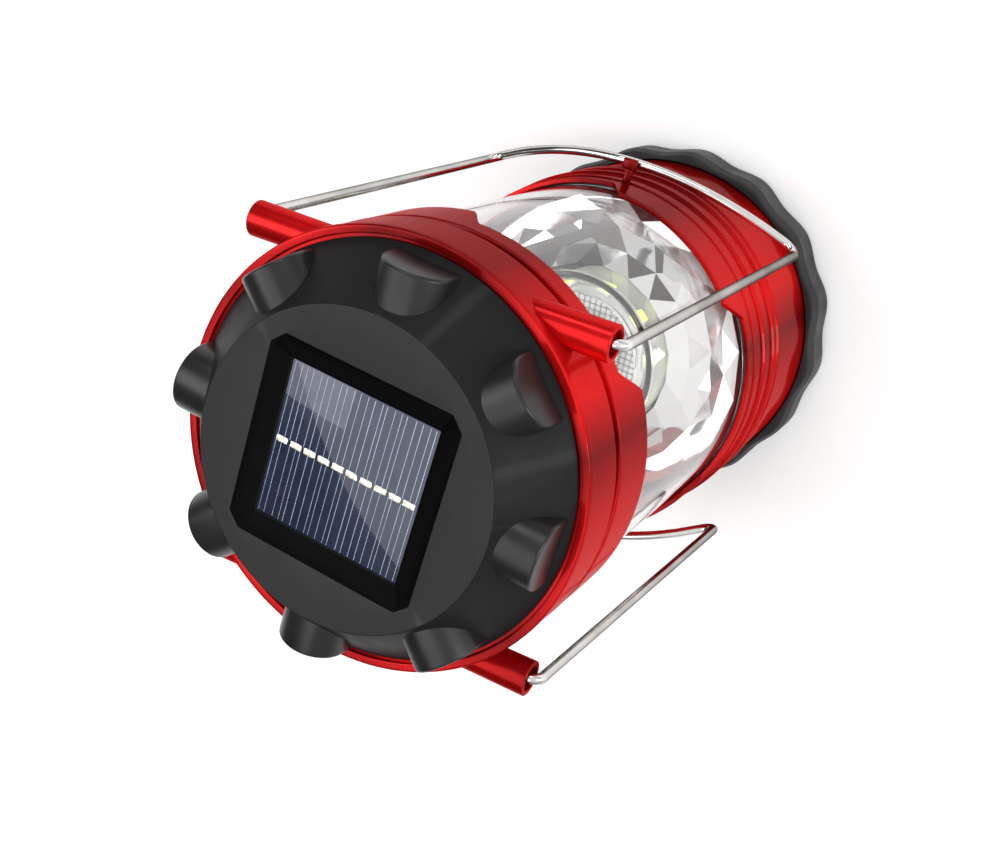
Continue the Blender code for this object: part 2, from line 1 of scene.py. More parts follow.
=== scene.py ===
"""Looks for the collapsible solar lantern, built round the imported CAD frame.

Sizes are millimetres in the frame's axes: +Z up from the foot, X along the bail tubes. Each piece is
modelled in place, rides on the CAD body named with it and stands for the CAD nodes named with it.
"""

import json
from math import atan2, cos, degrees, pi, radians, sin, tan, tau

import bmesh
import bpy
from mathutils import Matrix, Vector, noise


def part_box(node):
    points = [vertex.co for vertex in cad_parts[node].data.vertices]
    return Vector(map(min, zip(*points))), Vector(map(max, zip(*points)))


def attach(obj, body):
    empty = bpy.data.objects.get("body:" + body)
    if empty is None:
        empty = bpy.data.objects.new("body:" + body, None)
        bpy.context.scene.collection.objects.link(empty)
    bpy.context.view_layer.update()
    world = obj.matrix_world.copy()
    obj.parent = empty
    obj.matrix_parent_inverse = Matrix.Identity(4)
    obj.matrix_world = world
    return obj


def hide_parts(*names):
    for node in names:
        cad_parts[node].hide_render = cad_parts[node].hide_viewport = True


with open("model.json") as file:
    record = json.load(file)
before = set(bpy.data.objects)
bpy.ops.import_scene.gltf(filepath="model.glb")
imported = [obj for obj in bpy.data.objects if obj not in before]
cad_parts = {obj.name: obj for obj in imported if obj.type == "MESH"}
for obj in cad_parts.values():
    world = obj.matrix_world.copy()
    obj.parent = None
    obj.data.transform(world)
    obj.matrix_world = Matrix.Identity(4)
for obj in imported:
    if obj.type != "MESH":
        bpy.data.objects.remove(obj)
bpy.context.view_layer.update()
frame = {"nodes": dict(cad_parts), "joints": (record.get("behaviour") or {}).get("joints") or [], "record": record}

MM = 0.001


def reach(node):
    """(lowest corner, highest corner) of a CAD node in millimetres."""
    low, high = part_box(node)
    return low / MM, high / MM


def centre(node):
    low, high = reach(node)
    return (low + high) / 2


# Driving dimensions, read from the frame
HEAD_LOW, HEAD_HIGH = reach("upper_housing")
CAP_LOW, CAP_HIGH = reach("solar_cap")
CELL_LOW, CELL_HIGH = reach("solar_cell")
LENS_LOW, LENS_HIGH = reach("lens_tube")
BASE_LOW, BASE_HIGH = reach("base_housing")
RING_HIGH = reach("rubber_ring")[1]
DISH_LOW = reach("lower_reflector")[0]
DRUM_LOW, DRUM_HIGH = reach("lamp_cover")
POST_LOW, POST_HIGH = reach("led_post")
BAND_LOW, BAND_HIGH = reach("led_ring")
TOP_MIRROR_LOW, TOP_MIRROR_HIGH = reach("upper_reflector")
RAIL_LOW, RAIL_HIGH = reach("guide_rail_1")
COVER_LOW, COVER_HIGH = reach("bottom_cover")
BAIL_HIGH = reach("rear_bail")[1]
HINGES = {joint["name"]: Vector(joint["pos_m"]) / MM for joint in frame["joints"] if "pos_m" in joint}

# The red shells
RIM_R = HEAD_HIGH.x
SHELL_R = 43.8
BORE_R = 42.0
RIM_Z = HEAD_HIGH.z
WEB_Z = (158.2, 160.2)  # the web that carries the cap
WEB_R = 34.5
GROOVE_Z = 147.3
GROOVE_HALF = 1.35
GROOVE_DEEP = 1.25
HEAD_STEP = 8.3
BASE_STEP = 8.8
STEP_COUNT = 3
STEP_MIDDLE = 61.5
CUTOUT_HALF = 33.5
TAB_HALF = 31.5
STEP_SLOPE = 7.0

# The cap and the cell
CAP_TURN = radians(-5.0)
DISC_R = 31.3
CAP_R = CAP_HIGH.x
CAP_WALL = 2.2
PEG_COUNT = 8
PEG_R = 7.0
PEG_FACE_R = 40.2
PEG_DROP = 1.3
CELL_HALF = 16.0
RECESS_HALF = 20.6
RECESS_CHAMFER = 3.3
CELL_SLACK = 0.3
FINGER_COUNT = 22
PAD_COUNT = 10
PAD_HALF = (1.28, 0.62)

# The bails
TUBE_R = 3.65
TUBE_BORE_R = 2.6
TUBE_END_X = HEAD_HIGH.x - 5.3
TUBE_BORE_DEEP = 7.5
TUBE_TAPER_X = 27.0
TUBE_ROOT_X = 8.0
TUBE_TRIM_R = 43.0
WIRE_R = 1.1
BAIL_TOP_X = 40.14
BAIL_LONG = 108.8
BAIL_LEAN = radians(1.1)
BAIL_BOW = 12.0
BAIL_CORNER_BEND = 3.2
KEEPER_HALF = 1.8
KEEPER_HIGH = 1.6

# The lens, the lamp and the base
LENS_R = LENS_HIGH.x
LENS_WALL = 1.5
DRUM_R = DRUM_HIGH.x
DRUM_BORE_R = 20.5
DRUM_TOP_Z = 69.2  # the middle of the drum's dished top
DRUM_DISH = 1.4
DOTS_R = 16.6
DOT_ROWS = 76
DOT_HIGH = 0.55
DISH_COLUMNS = 20
DISH_RINGS = ((DRUM_R + 0.5, 62.9), (27.0, 60.2), (31.8, 58.3), (35.0, 58.6), (38.3, 57.7))
DISH_LIFT = 1.3
RIDGE_ZS = (51.7, 43.7, 39.7)
BASE_R = 43.5
COLLAR_R = 43.2
COLLAR_Z = 58.8
RIDGE_R = BASE_HIGH.x
RING_LOBES = 16
RING_LOBE = 0.6
RING_R = RING_HIGH.x - RING_LOBE
RING_BORE_R = 38.9
COVER_BORE_R = 18.6
COVER_GROOVES = (30.4, 22.2)
TORCH_BORE_R = 16.4
TORCH_RIM_R = 18.3
RING_SEAT = (43.8, 2.2)  # radius and height of the shell's seat in the ring
DOT_PITCH = 1.5
CHIP_COUNT = 10
CHIP_FIRST = radians(12.0)
CHIP_HALF = 1.9
# Painted reflections: the lacquer is painted brighter and darker round the shell, standing in for reflected light
# and shade
PAINTED_RED_REFLECTIONS = (
    (-180, 0.75), (-150, 0.2), (-125, 0.95), (-95, 0.3), (-60, 0.9), (-35, 0.2), (-16, 0.75), (4, 0.6),
    (20, 0.1), (34, 1.0), (54, 0.75), (72, 0.1), (102, 0.12), (125, 0.9), (150, 0.35), (180, 0.75),
)  # how bright the lacquer is at each azimuth
# Azimuths of the dish's facets painted dark: painted reflections of dark surroundings
PAINTED_REFLECTION_FACETS = ((-140, -120), (-60, -46), (46, 72), (84, 104), (160, 176))
RAIL_COUNT = 3
RAIL_AZIMUTH = radians(77.0)
RAIL_R = (39.0, 39.8)
RAIL_HALF_WIDTH = 1.4
RAIL_FOOT_HALF = 1.9
SCREWS = [f"bottom_screw_{k + 1}" for k in range(4)]

HOLD = 0.1  # how far beyond a rounded corner its shading is held
FINE = 240  # columns of the large turned pieces


# Node materials. Texture scales are per metre, because object coordinates are in metres.


class Nodes:
    """The nodes of a material or world, with a few texture helpers that all use the same coordinates."""

    def __init__(self, holder, coordinates):
        holder.use_nodes = True
        self.nodes = holder.node_tree.nodes
        self.links = holder.node_tree.links
        self.place = self.add("TexCoord", {}).outputs[coordinates]

    def add(self, kind, values):
        """A new node with each input in values set or linked."""
        node = self.nodes.new("ShaderNode" + kind)
        for socket, value in values.items():
            if isinstance(value, bpy.types.NodeSocket):
                self.links.new(value, node.inputs[socket])
            else:
                node.inputs[socket].default_value = value
        return node

    def noise(self, scale, detail=3.0, stretch=None):
        place = self.place
        if stretch is not None:
            place = self.add("Mapping", {"Vector": place, "Scale": stretch}).outputs["Vector"]
        return self.add("TexNoise", {"Vector": place, "Scale": scale, "Detail": detail}).outputs["Fac"]

    def ramp(self, value, low, high, at=(0.3, 0.7)):
        """Blends between two colours as value goes from at[0] to at[1]."""
        ramp = self.add("ValToRGB", {"Fac": value})
        for stop, where, color in zip(ramp.color_ramp.elements, at, (low, high)):
            stop.position = where
            stop.color = (*color, 1.0)
        return ramp.outputs["Color"]

    def range(self, value, low, high, at=(0.3, 0.7)):
        """Goes from low to high as value goes from at[0] to at[1]."""
        ends = {"From Min": at[0], "From Max": at[1], "To Min": low, "To Max": high}
        return self.add("MapRange", {"Value": value, **ends}).outputs["Result"]

    def maths(self, operation, *values, kind="Math"):
        node = self.add(kind, dict(enumerate(values)))
        node.operation = operation
        return node.outputs["Value"]

    def mix(self, share, first, second):
        """The colour share of the way from first to second."""
        ends = [(*value, 1.0) if isinstance(value, tuple) else value for value in (first, second)]
        node = self.add("Mix", {0: share, 6: ends[0], 7: ends[1]})
        node.data_type = "RGBA"
        return node.outputs[2]

    def around(self, stops):
        """Goes through the (azimuth in degrees, value) stops round the Z axis."""
        turn = self.add("TexGradient", {"Vector": self.place})
        turn.gradient_type = "RADIAL"
        ramp = self.add("ValToRGB", {"Fac": turn.outputs["Fac"]})
        elements = ramp.color_ramp.elements
        for element, (azimuth, value) in zip(elements, (stops[0], stops[-1])):
            element.position = 0.5 + azimuth / 360.0
            element.color = (value, value, value, 1.0)
        for azimuth, value in stops[1:-1]:
            elements.new(0.5 + azimuth / 360.0).color = (value, value, value, 1.0)
        return ramp.outputs["Color"]

    def edges(self, low, high):
        """About 1 on convex edges and 0 elsewhere."""
        return self.range(self.add("NewGeometry", {}).outputs["Pointiness"], 0.0, 1.0, (low, high))


class Paint(Nodes):
    """A Principled material in object coordinates."""

    def __init__(self, name, color, roughness, metallic=0.0):
        self.mat = bpy.data.materials.new(name)
        super().__init__(self.mat, "Object")
        self.shader = self.nodes["Principled BSDF"]
        self.put("Base Color", (*color, 1.0)).put("Roughness", roughness).put("Metallic", metallic)

    def put(self, socket, value):
        self.shader.inputs[socket].default_value = value
        return self

    def light_through(self):
        """Lets direct light pass straight through, as thin clear plastic does."""
        clear = self.add("BsdfTransparent", {}).outputs["BSDF"]
        shadow = self.add("LightPath", {}).outputs["Is Shadow Ray"]
        mix = self.add("MixShader", {0: shadow, 1: self.shader.outputs["BSDF"], 2: clear})
        self.links.new(mix.outputs["Shader"], self.nodes["Material Output"].inputs["Surface"])
        return self.mat

    def drive(self, socket, value):
        self.links.new(value, self.shader.inputs[socket])
        return self

    def bump(self, height, strength, deep):
        node = self.add("Bump", {"Strength": strength, "Distance": deep * MM, "Height": height})
        return self.drive("Normal", node.outputs["Normal"])

    # Each of these lays a noise over the surface: its colour, its roughness or its relief
    def tint(self, speckle, low, high, at=(0.3, 0.7)):
        return self.drive("Base Color", self.ramp(self.noise(*speckle), low, high, at))

    def gloss(self, speckle, low, high, at=(0.3, 0.7)):
        return self.drive("Roughness", self.range(self.noise(*speckle), low, high, at))

    def grain(self, speckle, strength, deep):
        return self.bump(self.noise(*speckle), strength, deep)


def shade(color, factor):
    return tuple(min(1.0, channel * factor) for channel in color)


def red_lacquer():
    """Candy red over metal flake with slight orange peel, painted deep and bright in turn round the shell as
    painted reflections.
    """
    color = (0.58, 0.008, 0.009)
    paint = Paint("red_lacquer", color, 0.29, 0.6)
    flake = paint.ramp(paint.noise(2400.0, 1.0), shade(color, 0.95), shade(color, 1.05))
    deep = paint.ramp(paint.noise(60.0, 2.0), (0.07, 0.0005, 0.001), (0.11, 0.001, 0.002))
    # Painted reflections: the base colour goes between deep red and bright red by azimuth
    paint.drive("Base Color", paint.mix(paint.around(PAINTED_RED_REFLECTIONS), deep, flake))
    paint.put("Coat Weight", 0.14).put("Coat Roughness", 0.03)
    paint.put("Specular Tint", (0.9, 0.0, 0.0, 1.0)).put("Specular IOR Level", 0.0)
    return paint.grain((500.0, 1.0), 0.012, 0.05).mat


def moulded(name, color, roughness, grain=2600.0, spread=0.08, deep=0.06, specular=0.35):
    """Moulded plastic: fine spark-eroded grain, cloudy tone and slightly uneven gloss."""
    paint = Paint(name, color, roughness)
    speck = paint.ramp(paint.noise(grain, 2.0), shade(color, 0.86), shade(color, 1.14))
    cloud = paint.range(paint.noise(45.0), 0.0, 1.0)
    tinted = paint.mix(cloud, speck, color)
    worn = paint.mix(paint.edges(0.54, 0.66), tinted, shade(color, 1.9))
    paint.drive("Base Color", worn)
    paint.gloss((120.0, 5.0), roughness - spread, roughness + spread)
    paint.put("Specular IOR Level", specular)
    return paint.grain((grain, 3.0), 0.25, deep).mat


def rubber_mat():
    """Dull rubber with fine pits and a dusty bloom."""
    paint = Paint("rubber", (0.006, 0.006, 0.0062), 0.55)
    bloom = paint.ramp(paint.noise(75.0, 6.0), (0.0045, 0.0045, 0.0047), (0.011, 0.011, 0.0112), (0.45, 0.75))
    worn = paint.mix(paint.edges(0.53, 0.62), bloom, (0.03, 0.03, 0.031))
    paint.drive("Base Color", worn)
    paint.gloss((160.0, 4.0), 0.42, 0.62)
    paint.put("Specular IOR Level", 0.35)
    return paint.grain((2200.0, 4.0), 0.3, 0.08).mat


def chrome_wire():
    """Bright nickel-chrome plate with drawing lines along the wire."""
    paint = Paint("chrome_wire", (0.66, 0.65, 0.63), 0.14, 1.0)
    paint.put("Specular Tint", (0.12, 0.11, 0.10, 1.0))
    paint.tint((90.0, 5.0), (0.52, 0.51, 0.49), (0.76, 0.75, 0.73))
    paint.gloss((1500.0, 3.0, (1.0, 1.0, 0.1)), 0.06, 0.2)
    return paint.grain((3000.0, 2.0, (1.0, 1.0, 0.05)), 0.08, 0.02).mat


def plated(name, color=(0.88, 0.88, 0.89), waviness=0.1):
    """Vacuum-plated plastic: a mirror with faint waves and specks."""
    paint = Paint(name, color, 0.06, 1.0)
    paint.tint((1900.0, 2.0), shade(color, 0.93), color, (0.25, 0.4))
    paint.gloss((200.0, 4.0), 0.04, 0.12)
    return paint.grain((130.0, 2.0), waviness, 0.3).mat


def clear_plastic(name, tint=(0.985, 0.99, 0.99), roughness=0.0, ior=1.46):
    """Clear polystyrene with hairline scuffs in its gloss."""
    paint = Paint(name, tint, roughness)
    paint.put("Transmission Weight", 1.0).put("IOR", ior)
    scuffs = paint.noise(700.0, 5.0, (1.0, 1.0, 0.15))
    paint.drive("Roughness", paint.range(scuffs, roughness, roughness + 0.02, (0.55, 0.8)))
    paint.grain((55.0, 2.0), 0.03, 0.1)
    return paint.light_through()


def dotted_clear():
    """The drum's clear top, printed between its small lens dots with a grey net."""
    paint = Paint("dotted_clear", (0.9, 0.9, 0.9), 0.05)
    paint.put("Transmission Weight", 1.0).put("IOR", 1.4)
    place = paint.add("SeparateXYZ", {"Vector": paint.place})
    per_metre = pi / (DOT_PITCH * MM)
    waves = [paint.maths("SINE", paint.maths("MULTIPLY", place.outputs[axis], per_metre)) for axis in "XY"]
    dots = paint.maths("ABSOLUTE", paint.maths("MULTIPLY", *waves))
    net = paint.ramp(dots, (0.16, 0.16, 0.16), (0.97, 0.97, 0.96), (0.12, 0.5))
    paint.drive("Base Color", net)
    paint.gloss((700.0,), 0.02, 0.08)
    return paint.light_through()


def silicon():
    """Blue silicon under clear resin: crystal grain, a cloudy anti-reflection film and a wet gloss."""
    paint = Paint("silicon", (0.05, 0.07, 0.13), 0.3)
    grain = paint.add("TexVoronoi", {"Vector": paint.place, "Scale": 260.0})
    crystal = paint.ramp(grain.outputs["Distance"], (0.008, 0.014, 0.036), (0.020, 0.026, 0.050), (0.0, 0.8))
    film = paint.ramp(paint.noise(70.0, 3.0, (1.0, 0.3, 1.0)), (0.006, 0.011, 0.030), (0.024, 0.029, 0.058))
    paint.drive("Base Color", paint.mix(paint.noise(30.0), crystal, film))
    paint.gloss((400.0,), 0.25, 0.4)
    paint.put("Metallic", 0.2).put("Specular IOR Level", 0.2)
    paint.put("Coat Weight", 0.8).put("Coat Roughness", 0.03)
    return paint.grain((500.0, 2.0), 0.05, 0.05).mat


def solder():
    """Tinned copper: a pale, lumpy, half-matt skin."""
    paint = Paint("solder", (0.82, 0.80, 0.70), 0.45, 0.35)
    paint.tint((1600.0, 4.0), (0.55, 0.52, 0.40), (0.93, 0.92, 0.86), (0.35, 0.6))
    paint.gloss((900.0,), 0.3, 0.6)
    return paint.grain((1300.0, 4.0), 0.6, 0.15).mat


def phosphor():
    """Yellow phosphor resin, slightly translucent, with a granular face and a painted glow that stands in for
    highlights.
    """
    paint = Paint("phosphor", (0.85, 0.86, 0.10), 0.4)
    paint.tint((2800.0, 3.0), (0.78, 0.74, 0.05), (0.93, 0.96, 0.25))
    paint.gloss((700.0,), 0.3, 0.5)
    # Painted highlight: the phosphor glows to give the bright spots of highlight
    paint.put("Emission Color", (0.8, 0.9, 0.1, 1.0)).put("Emission Strength", 2.0)
    paint.put("Subsurface Weight", 0.2)
    return paint.grain((2800.0, 3.0), 0.3, 0.05).mat


def board(name, color):
    """Solder mask over glass cloth, with tracks that show faintly through it."""
    paint = Paint(name, color, 0.35)
    weave = paint.add("TexChecker", {"Vector": paint.place, "Scale": 1400.0})
    weave.inputs["Color1"].default_value = (*shade(color, 0.92), 1.0)
    weave.inputs["Color2"].default_value = (*shade(color, 1.05), 1.0)
    tracks = paint.range(paint.noise(220.0, 0.0, (1.0, 0.2, 1.0)), 0.0, 1.0, (0.52, 0.54))
    paint.drive("Base Color", paint.mix(tracks, weave.outputs["Color"], shade(color, 1.25)))
    paint.gloss((300.0,), 0.25, 0.45)
    return paint.bump(tracks, 0.4, 0.05).mat


def steel(name, color, lines=(1.0, 1.0, 0.08), roughness=0.3):
    """Plated or drawn metal with fine working lines and dulled patches."""
    paint = Paint(name, color, roughness, 1.0)
    paint.tint((150.0, 5.0), shade(color, 0.78), shade(color, 1.12))
    paint.gloss((2200.0, 3.0, lines), roughness - 0.1, roughness + 0.12)
    return paint.grain((2600.0, 2.0, lines), 0.2, 0.03).mat


def floor_paper():
    """Pale studio paper with a barely visible tooth."""
    paint = Paint("floor_paper", (0.93, 0.93, 0.93), 0.9)
    paint.tint((900.0, 4.0), (0.925, 0.925, 0.925), (0.94, 0.94, 0.94))
    return paint.grain((1500.0, 3.0), 0.05, 0.05).mat


# Shapes


def linked(name, data):
    thing = bpy.data.objects.new(name, data)
    bpy.context.scene.collection.objects.link(thing)
    return thing


def soften(mesh, angle):
    """Shades over every edge that turns by less than angle degrees."""
    mesh.shade_smooth()
    mesh.set_sharp_from_angle(angle=radians(angle))


def add_piece(name, bm, mats, smooth=35.0):
    """Makes an object in metres of a bmesh in millimetres. smooth is the sharpest shaded-over angle."""
    bmesh.ops.recalc_face_normals(bm, faces=bm.faces)
    bmesh.ops.scale(bm, vec=(MM, MM, MM), verts=bm.verts)
    mesh = bpy.data.meshes.new(name)
    bm.to_mesh(mesh)
    bm.free()
    if smooth:
        soften(mesh, smooth)
    for mat in mats if isinstance(mats, list) else [mats]:
        mesh.materials.append(mat)
    return linked(name, mesh)


def settle(thing, body, slot=None, *nodes):
    """The piece rides on a CAD body and stands for the named CAD nodes. slot is not used."""
    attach(thing, body)
    if nodes:
        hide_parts(*nodes)


def rounded(points, radius):
    """The profile with each corner rounded. A point may carry its own radius as a third number.

    A profile that starts on the axis is open, and its two ends stay sharp. A point just beyond each end
    of a corner keeps the corner's shading off the long flat run next to it.
    """
    count = len(points)
    ends = (0, count - 1) if points[0][0] == 0.0 else ()
    result = []
    for i, point in enumerate(points):
        here = Vector(point[:2])
        own = point[2] if len(point) > 2 else radius
        if own == 0.0 or i in ends:
            result.append(tuple(here))
            continue
        back = Vector(points[i - 1][:2]) - here
        ahead = Vector(points[(i + 1) % count][:2]) - here
        half = back.angle(ahead) / 2
        if half > radians(88.0):
            result.append(tuple(here))
            continue
        run = min(own / tan(half), 0.45 * back.length, 0.45 * ahead.length)
        first = here + back.normalized() * run
        last = here + ahead.normalized() * run
        if back.length > 4 * (run + HOLD):
            result.append(tuple(here + back.normalized() * (run + HOLD)))
        for t in (0.0, 0.25, 0.5, 0.75, 1.0):
            spot = first * (1 - t) ** 2 + here * 2 * t * (1 - t) + last * t**2
            result.append(tuple(spot))
        if ahead.length > 4 * (run + HOLD):
            result.append(tuple(here + ahead.normalized() * (run + HOLD)))
    return result


def turned(profile, count=FINE, extra=(), change=None):
    """A bmesh of a profile turned about Z. It is a closed loop, or runs from the axis to the axis.

    It has count even columns and those at the extra azimuths. change can shift each of its points.
    """
    even = {round(360.0 * i / count, 3) for i in range(count)}
    columns = sorted(even | {round(a % 360.0, 3) for a in extra})
    bm = bmesh.new()
    rings = []
    for index, (radius, z) in enumerate(profile):
        if radius == 0.0:
            rings.append([bm.verts.new((0.0, 0.0, z))])
            continue
        ring = []
        for azimuth in columns:
            r, height = (radius, z) if change is None else change(index, azimuth, radius, z)
            angle = radians(azimuth)
            ring.append(bm.verts.new((r * cos(angle), r * sin(angle), height)))
        rings.append(ring)
    loops = list(zip(rings, rings[1:]))
    if profile[0][0] > 0.0:
        loops.append((rings[-1], rings[0]))
    for upper, lower in loops:
        for i in range(len(columns)):
            j = (i + 1) % len(columns)
            near = [upper[k % len(upper)] for k in (i, j)]
            far = [lower[k % len(lower)] for k in (j, i)]
            unique = list(dict.fromkeys(near + far))
            if len(unique) > 2:
                bm.faces.new(unique)
    return bm


def lathe(name, profile, mats, count=FINE, extra=(), change=None, smooth=35.0):
    return add_piece(name, turned(profile, count, extra, change), mats, smooth)


def loft(sections):
    """A bmesh through equal rings of points, closed at both ends."""
    bm = bmesh.new()
    rings = [[bm.verts.new(point) for point in section] for section in sections]
    for first, second in zip(rings, rings[1:]):
        for i in range(len(first)):
            j = (i + 1) % len(first)
            bm.faces.new((first[i], first[j], second[j], second[i]))
    bm.faces.new(rings[0][::-1])
    bm.faces.new(rings[-1])
    return bm


def moved(bm, matrix):
    bmesh.ops.transform(bm, matrix=matrix, verts=bm.verts)
    return bm


def spun(bm, angle):
    return moved(bm, Matrix.Rotation(angle, 4, "Z"))


def at_node(bm, node):
    """Moves a shape made about the Z axis to stand on a CAD node's middle."""
    middle = centre(node)
    return moved(bm, Matrix.Translation((middle.x, middle.y, 0.0)))


def together(parts):
    """One bmesh of several, each freed."""
    whole = bmesh.new()
    for part in parts:
        mesh = bpy.data.meshes.new("part")
        part.to_mesh(mesh)
        part.free()
        whole.from_mesh(mesh)
        bpy.data.meshes.remove(mesh)
    return whole


def span(half, middle=0.0):
    return middle - half, middle + half


def block(x, y, z, round_off=0.0, segments=3):
    """A box between the given pairs, with rounded edges."""
    bm = bmesh.new()
    bmesh.ops.create_cube(bm, size=1.0)
    size = Vector((x[1] - x[0], y[1] - y[0], z[1] - z[0]))
    middle = Vector((x[0] + x[1], y[0] + y[1], z[0] + z[1])) / 2
    bmesh.ops.scale(bm, vec=size, verts=bm.verts)
    bmesh.ops.translate(bm, vec=middle, verts=bm.verts)
    if round_off:
        edges = {"geom": bm.edges[:], "affect": "EDGES", "clamp_overlap": True}
        bmesh.ops.bevel(bm, offset=round_off, segments=segments, profile=0.5, **edges)
    return bm


def cut(thing, bm):
    """Cuts the shape bm out of thing, at once."""
    cutter = add_piece("cutter", bm, list(thing.data.materials), smooth=0.0)
    mod = thing.modifiers.new("cut", "BOOLEAN")
    mod.operation = "DIFFERENCE"
    mod.solver = "EXACT"
    mod.object = cutter
    graph = bpy.context.evaluated_depsgraph_get()
    mesh = bpy.data.meshes.new_from_object(thing.evaluated_get(graph), depsgraph=graph)
    thing.modifiers.clear()
    old = thing.data
    thing.data = mesh
    bpy.data.meshes.remove(old)
    bpy.data.objects.remove(cutter, do_unlink=True)


def tube(name, wall, low, high, outer, mat, soft):
    points = [(outer - wall, high), (outer, high), (outer, low), (outer - wall, low)]
    return lathe(name, rounded(points, soft), mat)


# The red shells


def step_share(azimuth, half):
    """0 away from the steps, 1 within them, and between on their sloped sides."""
    period = 360.0 / STEP_COUNT
    away = abs((azimuth - STEP_MIDDLE + period / 2) % period - period / 2)
    share = min(1.0, max(0.0, (half - away) / STEP_SLOPE))
    return share * share * (3 - 2 * share) * 0.3 + share * 0.7


def stepped(level, rise, half):
    """Lifts the edge at level within the steps."""

    def change(index, azimuth, radius, z):
        return radius, z + (rise * step_share(azimuth, half) if abs(z - level) < 1.0 else 0.0)

    return change


def step_corners(half):
    corners = []
    for k in range(STEP_COUNT):
        middle = STEP_MIDDLE + k * 360.0 / STEP_COUNT
        for side in (-1, 1):
            for share in range(9):
                corners.append(middle + side * (half - STEP_SLOPE * share / 8))
    return corners


def head_shell(red):
    low = HEAD_LOW.z
    points = [
        (BORE_R + 0.2, RIM_Z - 0.2, 0.25),
        (RIM_R - 0.1, RIM_Z, 0.5),
        (RIM_R, RIM_Z - 1.5, 0.2),
        (SHELL_R - 0.15, RIM_Z - 2.0, 0.2),
        (SHELL_R + 0.1, GROOVE_Z + GROOVE_HALF, 0.3),
        (SHELL_R - GROOVE_DEEP, GROOVE_Z + GROOVE_HALF * 0.8, 0.25),
        (SHELL_R - GROOVE_DEEP, GROOVE_Z - GROOVE_HALF * 0.8, 0.25),
        (SHELL_R, GROOVE_Z - GROOVE_HALF, 0.3),
        (SHELL_R, low, 0.3),
        (BORE_R, low, 0.2),
        (BORE_R, WEB_Z[0], 0.1),
        (WEB_R, WEB_Z[0], 0.1),
        (WEB_R, WEB_Z[1], 0.1),
        (BORE_R + 0.2, WEB_Z[1], 0.1),
    ]
    steps = stepped(low, HEAD_STEP, CUTOUT_HALF)
    shell = lathe("head_shell", rounded(points, 0.2), red, FINE, step_corners(CUTOUT_HALF), steps)
    settle(shell, "head", "red_shell", "upper_housing")


def bail_tubes(red):
    """The four bail tubes, each open at its end and cut off flush inside the shell."""
    pieces = []
    for hinge in HINGES.values():
        for end in (-1, 1):
            bore_end = TUBE_END_X - TUBE_BORE_DEEP
            points = [
                (0.0, bore_end, 0.0),
                (TUBE_BORE_R, bore_end, 0.2),
                (TUBE_BORE_R, TUBE_END_X, 0.25),
                (TUBE_R, TUBE_END_X, 0.3),
                (TUBE_R - 0.1, TUBE_TAPER_X, 0.0),
                (TUBE_R - 0.1, TUBE_ROOT_X, 0.0),
                (0.0, TUBE_ROOT_X, 0.0),
            ]
            barrel = turned(rounded(points, 0.3), 72)
            place = Matrix.Translation((0.0, hinge.y, hinge.z)) @ Matrix.Rotation(end * pi / 2, 4, "Y")
            pieces.append(moved(barrel, place))
    tubes = add_piece("bail_tubes", together(pieces), red)
    hinge_z = HINGES["rear_bail_hinge"].z
    low, high = hinge_z - 10.0, hinge_z + 10.0
    inside = [(0.0, high), (TUBE_TRIM_R, high), (TUBE_TRIM_R, low), (0.0, low)]
    trim = turned(inside, 120)
    cut(tubes, trim)
    soften(tubes.data, 40.0)
    settle(tubes, "head", "red_shell")


def base_shell(red):
    top = BASE_HIGH.z - BASE_STEP
    points = [
        (BORE_R, top, 0.25),
        (COLLAR_R, top, 0.35),
        (COLLAR_R, COLLAR_Z + 0.15, 0.2),
        (COLLAR_R + 0.35, COLLAR_Z, 0.2),
        (BASE_R, COLLAR_Z - 0.5, 0.2),
    ]
    for z in RIDGE_ZS:
        points += [
            (BASE_R - 0.05, z + 1.25, 0.3),
            (RIDGE_R, z + 0.6, 0.45),
            (RIDGE_R, z - 0.6, 0.45),
            (BASE_R - 0.05, z - 1.25, 0.3),
        ]
    points += [(BASE_R, 34.5, 0.5), (BASE_R - 0.1, BASE_LOW.z, 0.3), (BORE_R, BASE_LOW.z, 0.2)]
    steps = stepped(top, BASE_STEP, TAB_HALF)
    shell = lathe("base_shell", rounded(points, 0.3), red, FINE, step_corners(TAB_HALF), steps)
    settle(shell, "base", "red_shell", "base_housing")


def bail_keepers(red):
    """A small headed stem for each crossbar, which rests just under it."""
    wire_z = HINGES["rear_bail_hinge"].z - BAIL_LONG * cos(BAIL_LEAN) + BAIL_BOW
    low = wire_z + WIRE_R + 0.4
    reach_out = BASE_HIGH.y
    parts = []
    for side in (-1, 1):
        stem = sorted((side * 42.9, side * (reach_out - 1.0)))
        head = sorted((side * (reach_out - 2.6), side * reach_out))
        parts.append(block(span(1.0), stem, (low + 0.2, low + KEEPER_HIGH - 0.3), 0.3))
        parts.append(block(span(KEEPER_HALF), head, (low, low + KEEPER_HIGH), 0.45))
    settle(add_piece("bail_keepers", together(parts), red), "base", "red_shell")


# The cap


def chamfered_square(half, chamfer, z):
    inner = half - chamfer
    corners = []
    for sx, sy in ((1, 1), (-1, 1), (-1, -1), (1, -1)):
        pair = [(sx * half, sy * inner, z), (sx * inner, sy * half, z)]
        corners += pair if sx * sy > 0 else pair[::-1]
    return corners
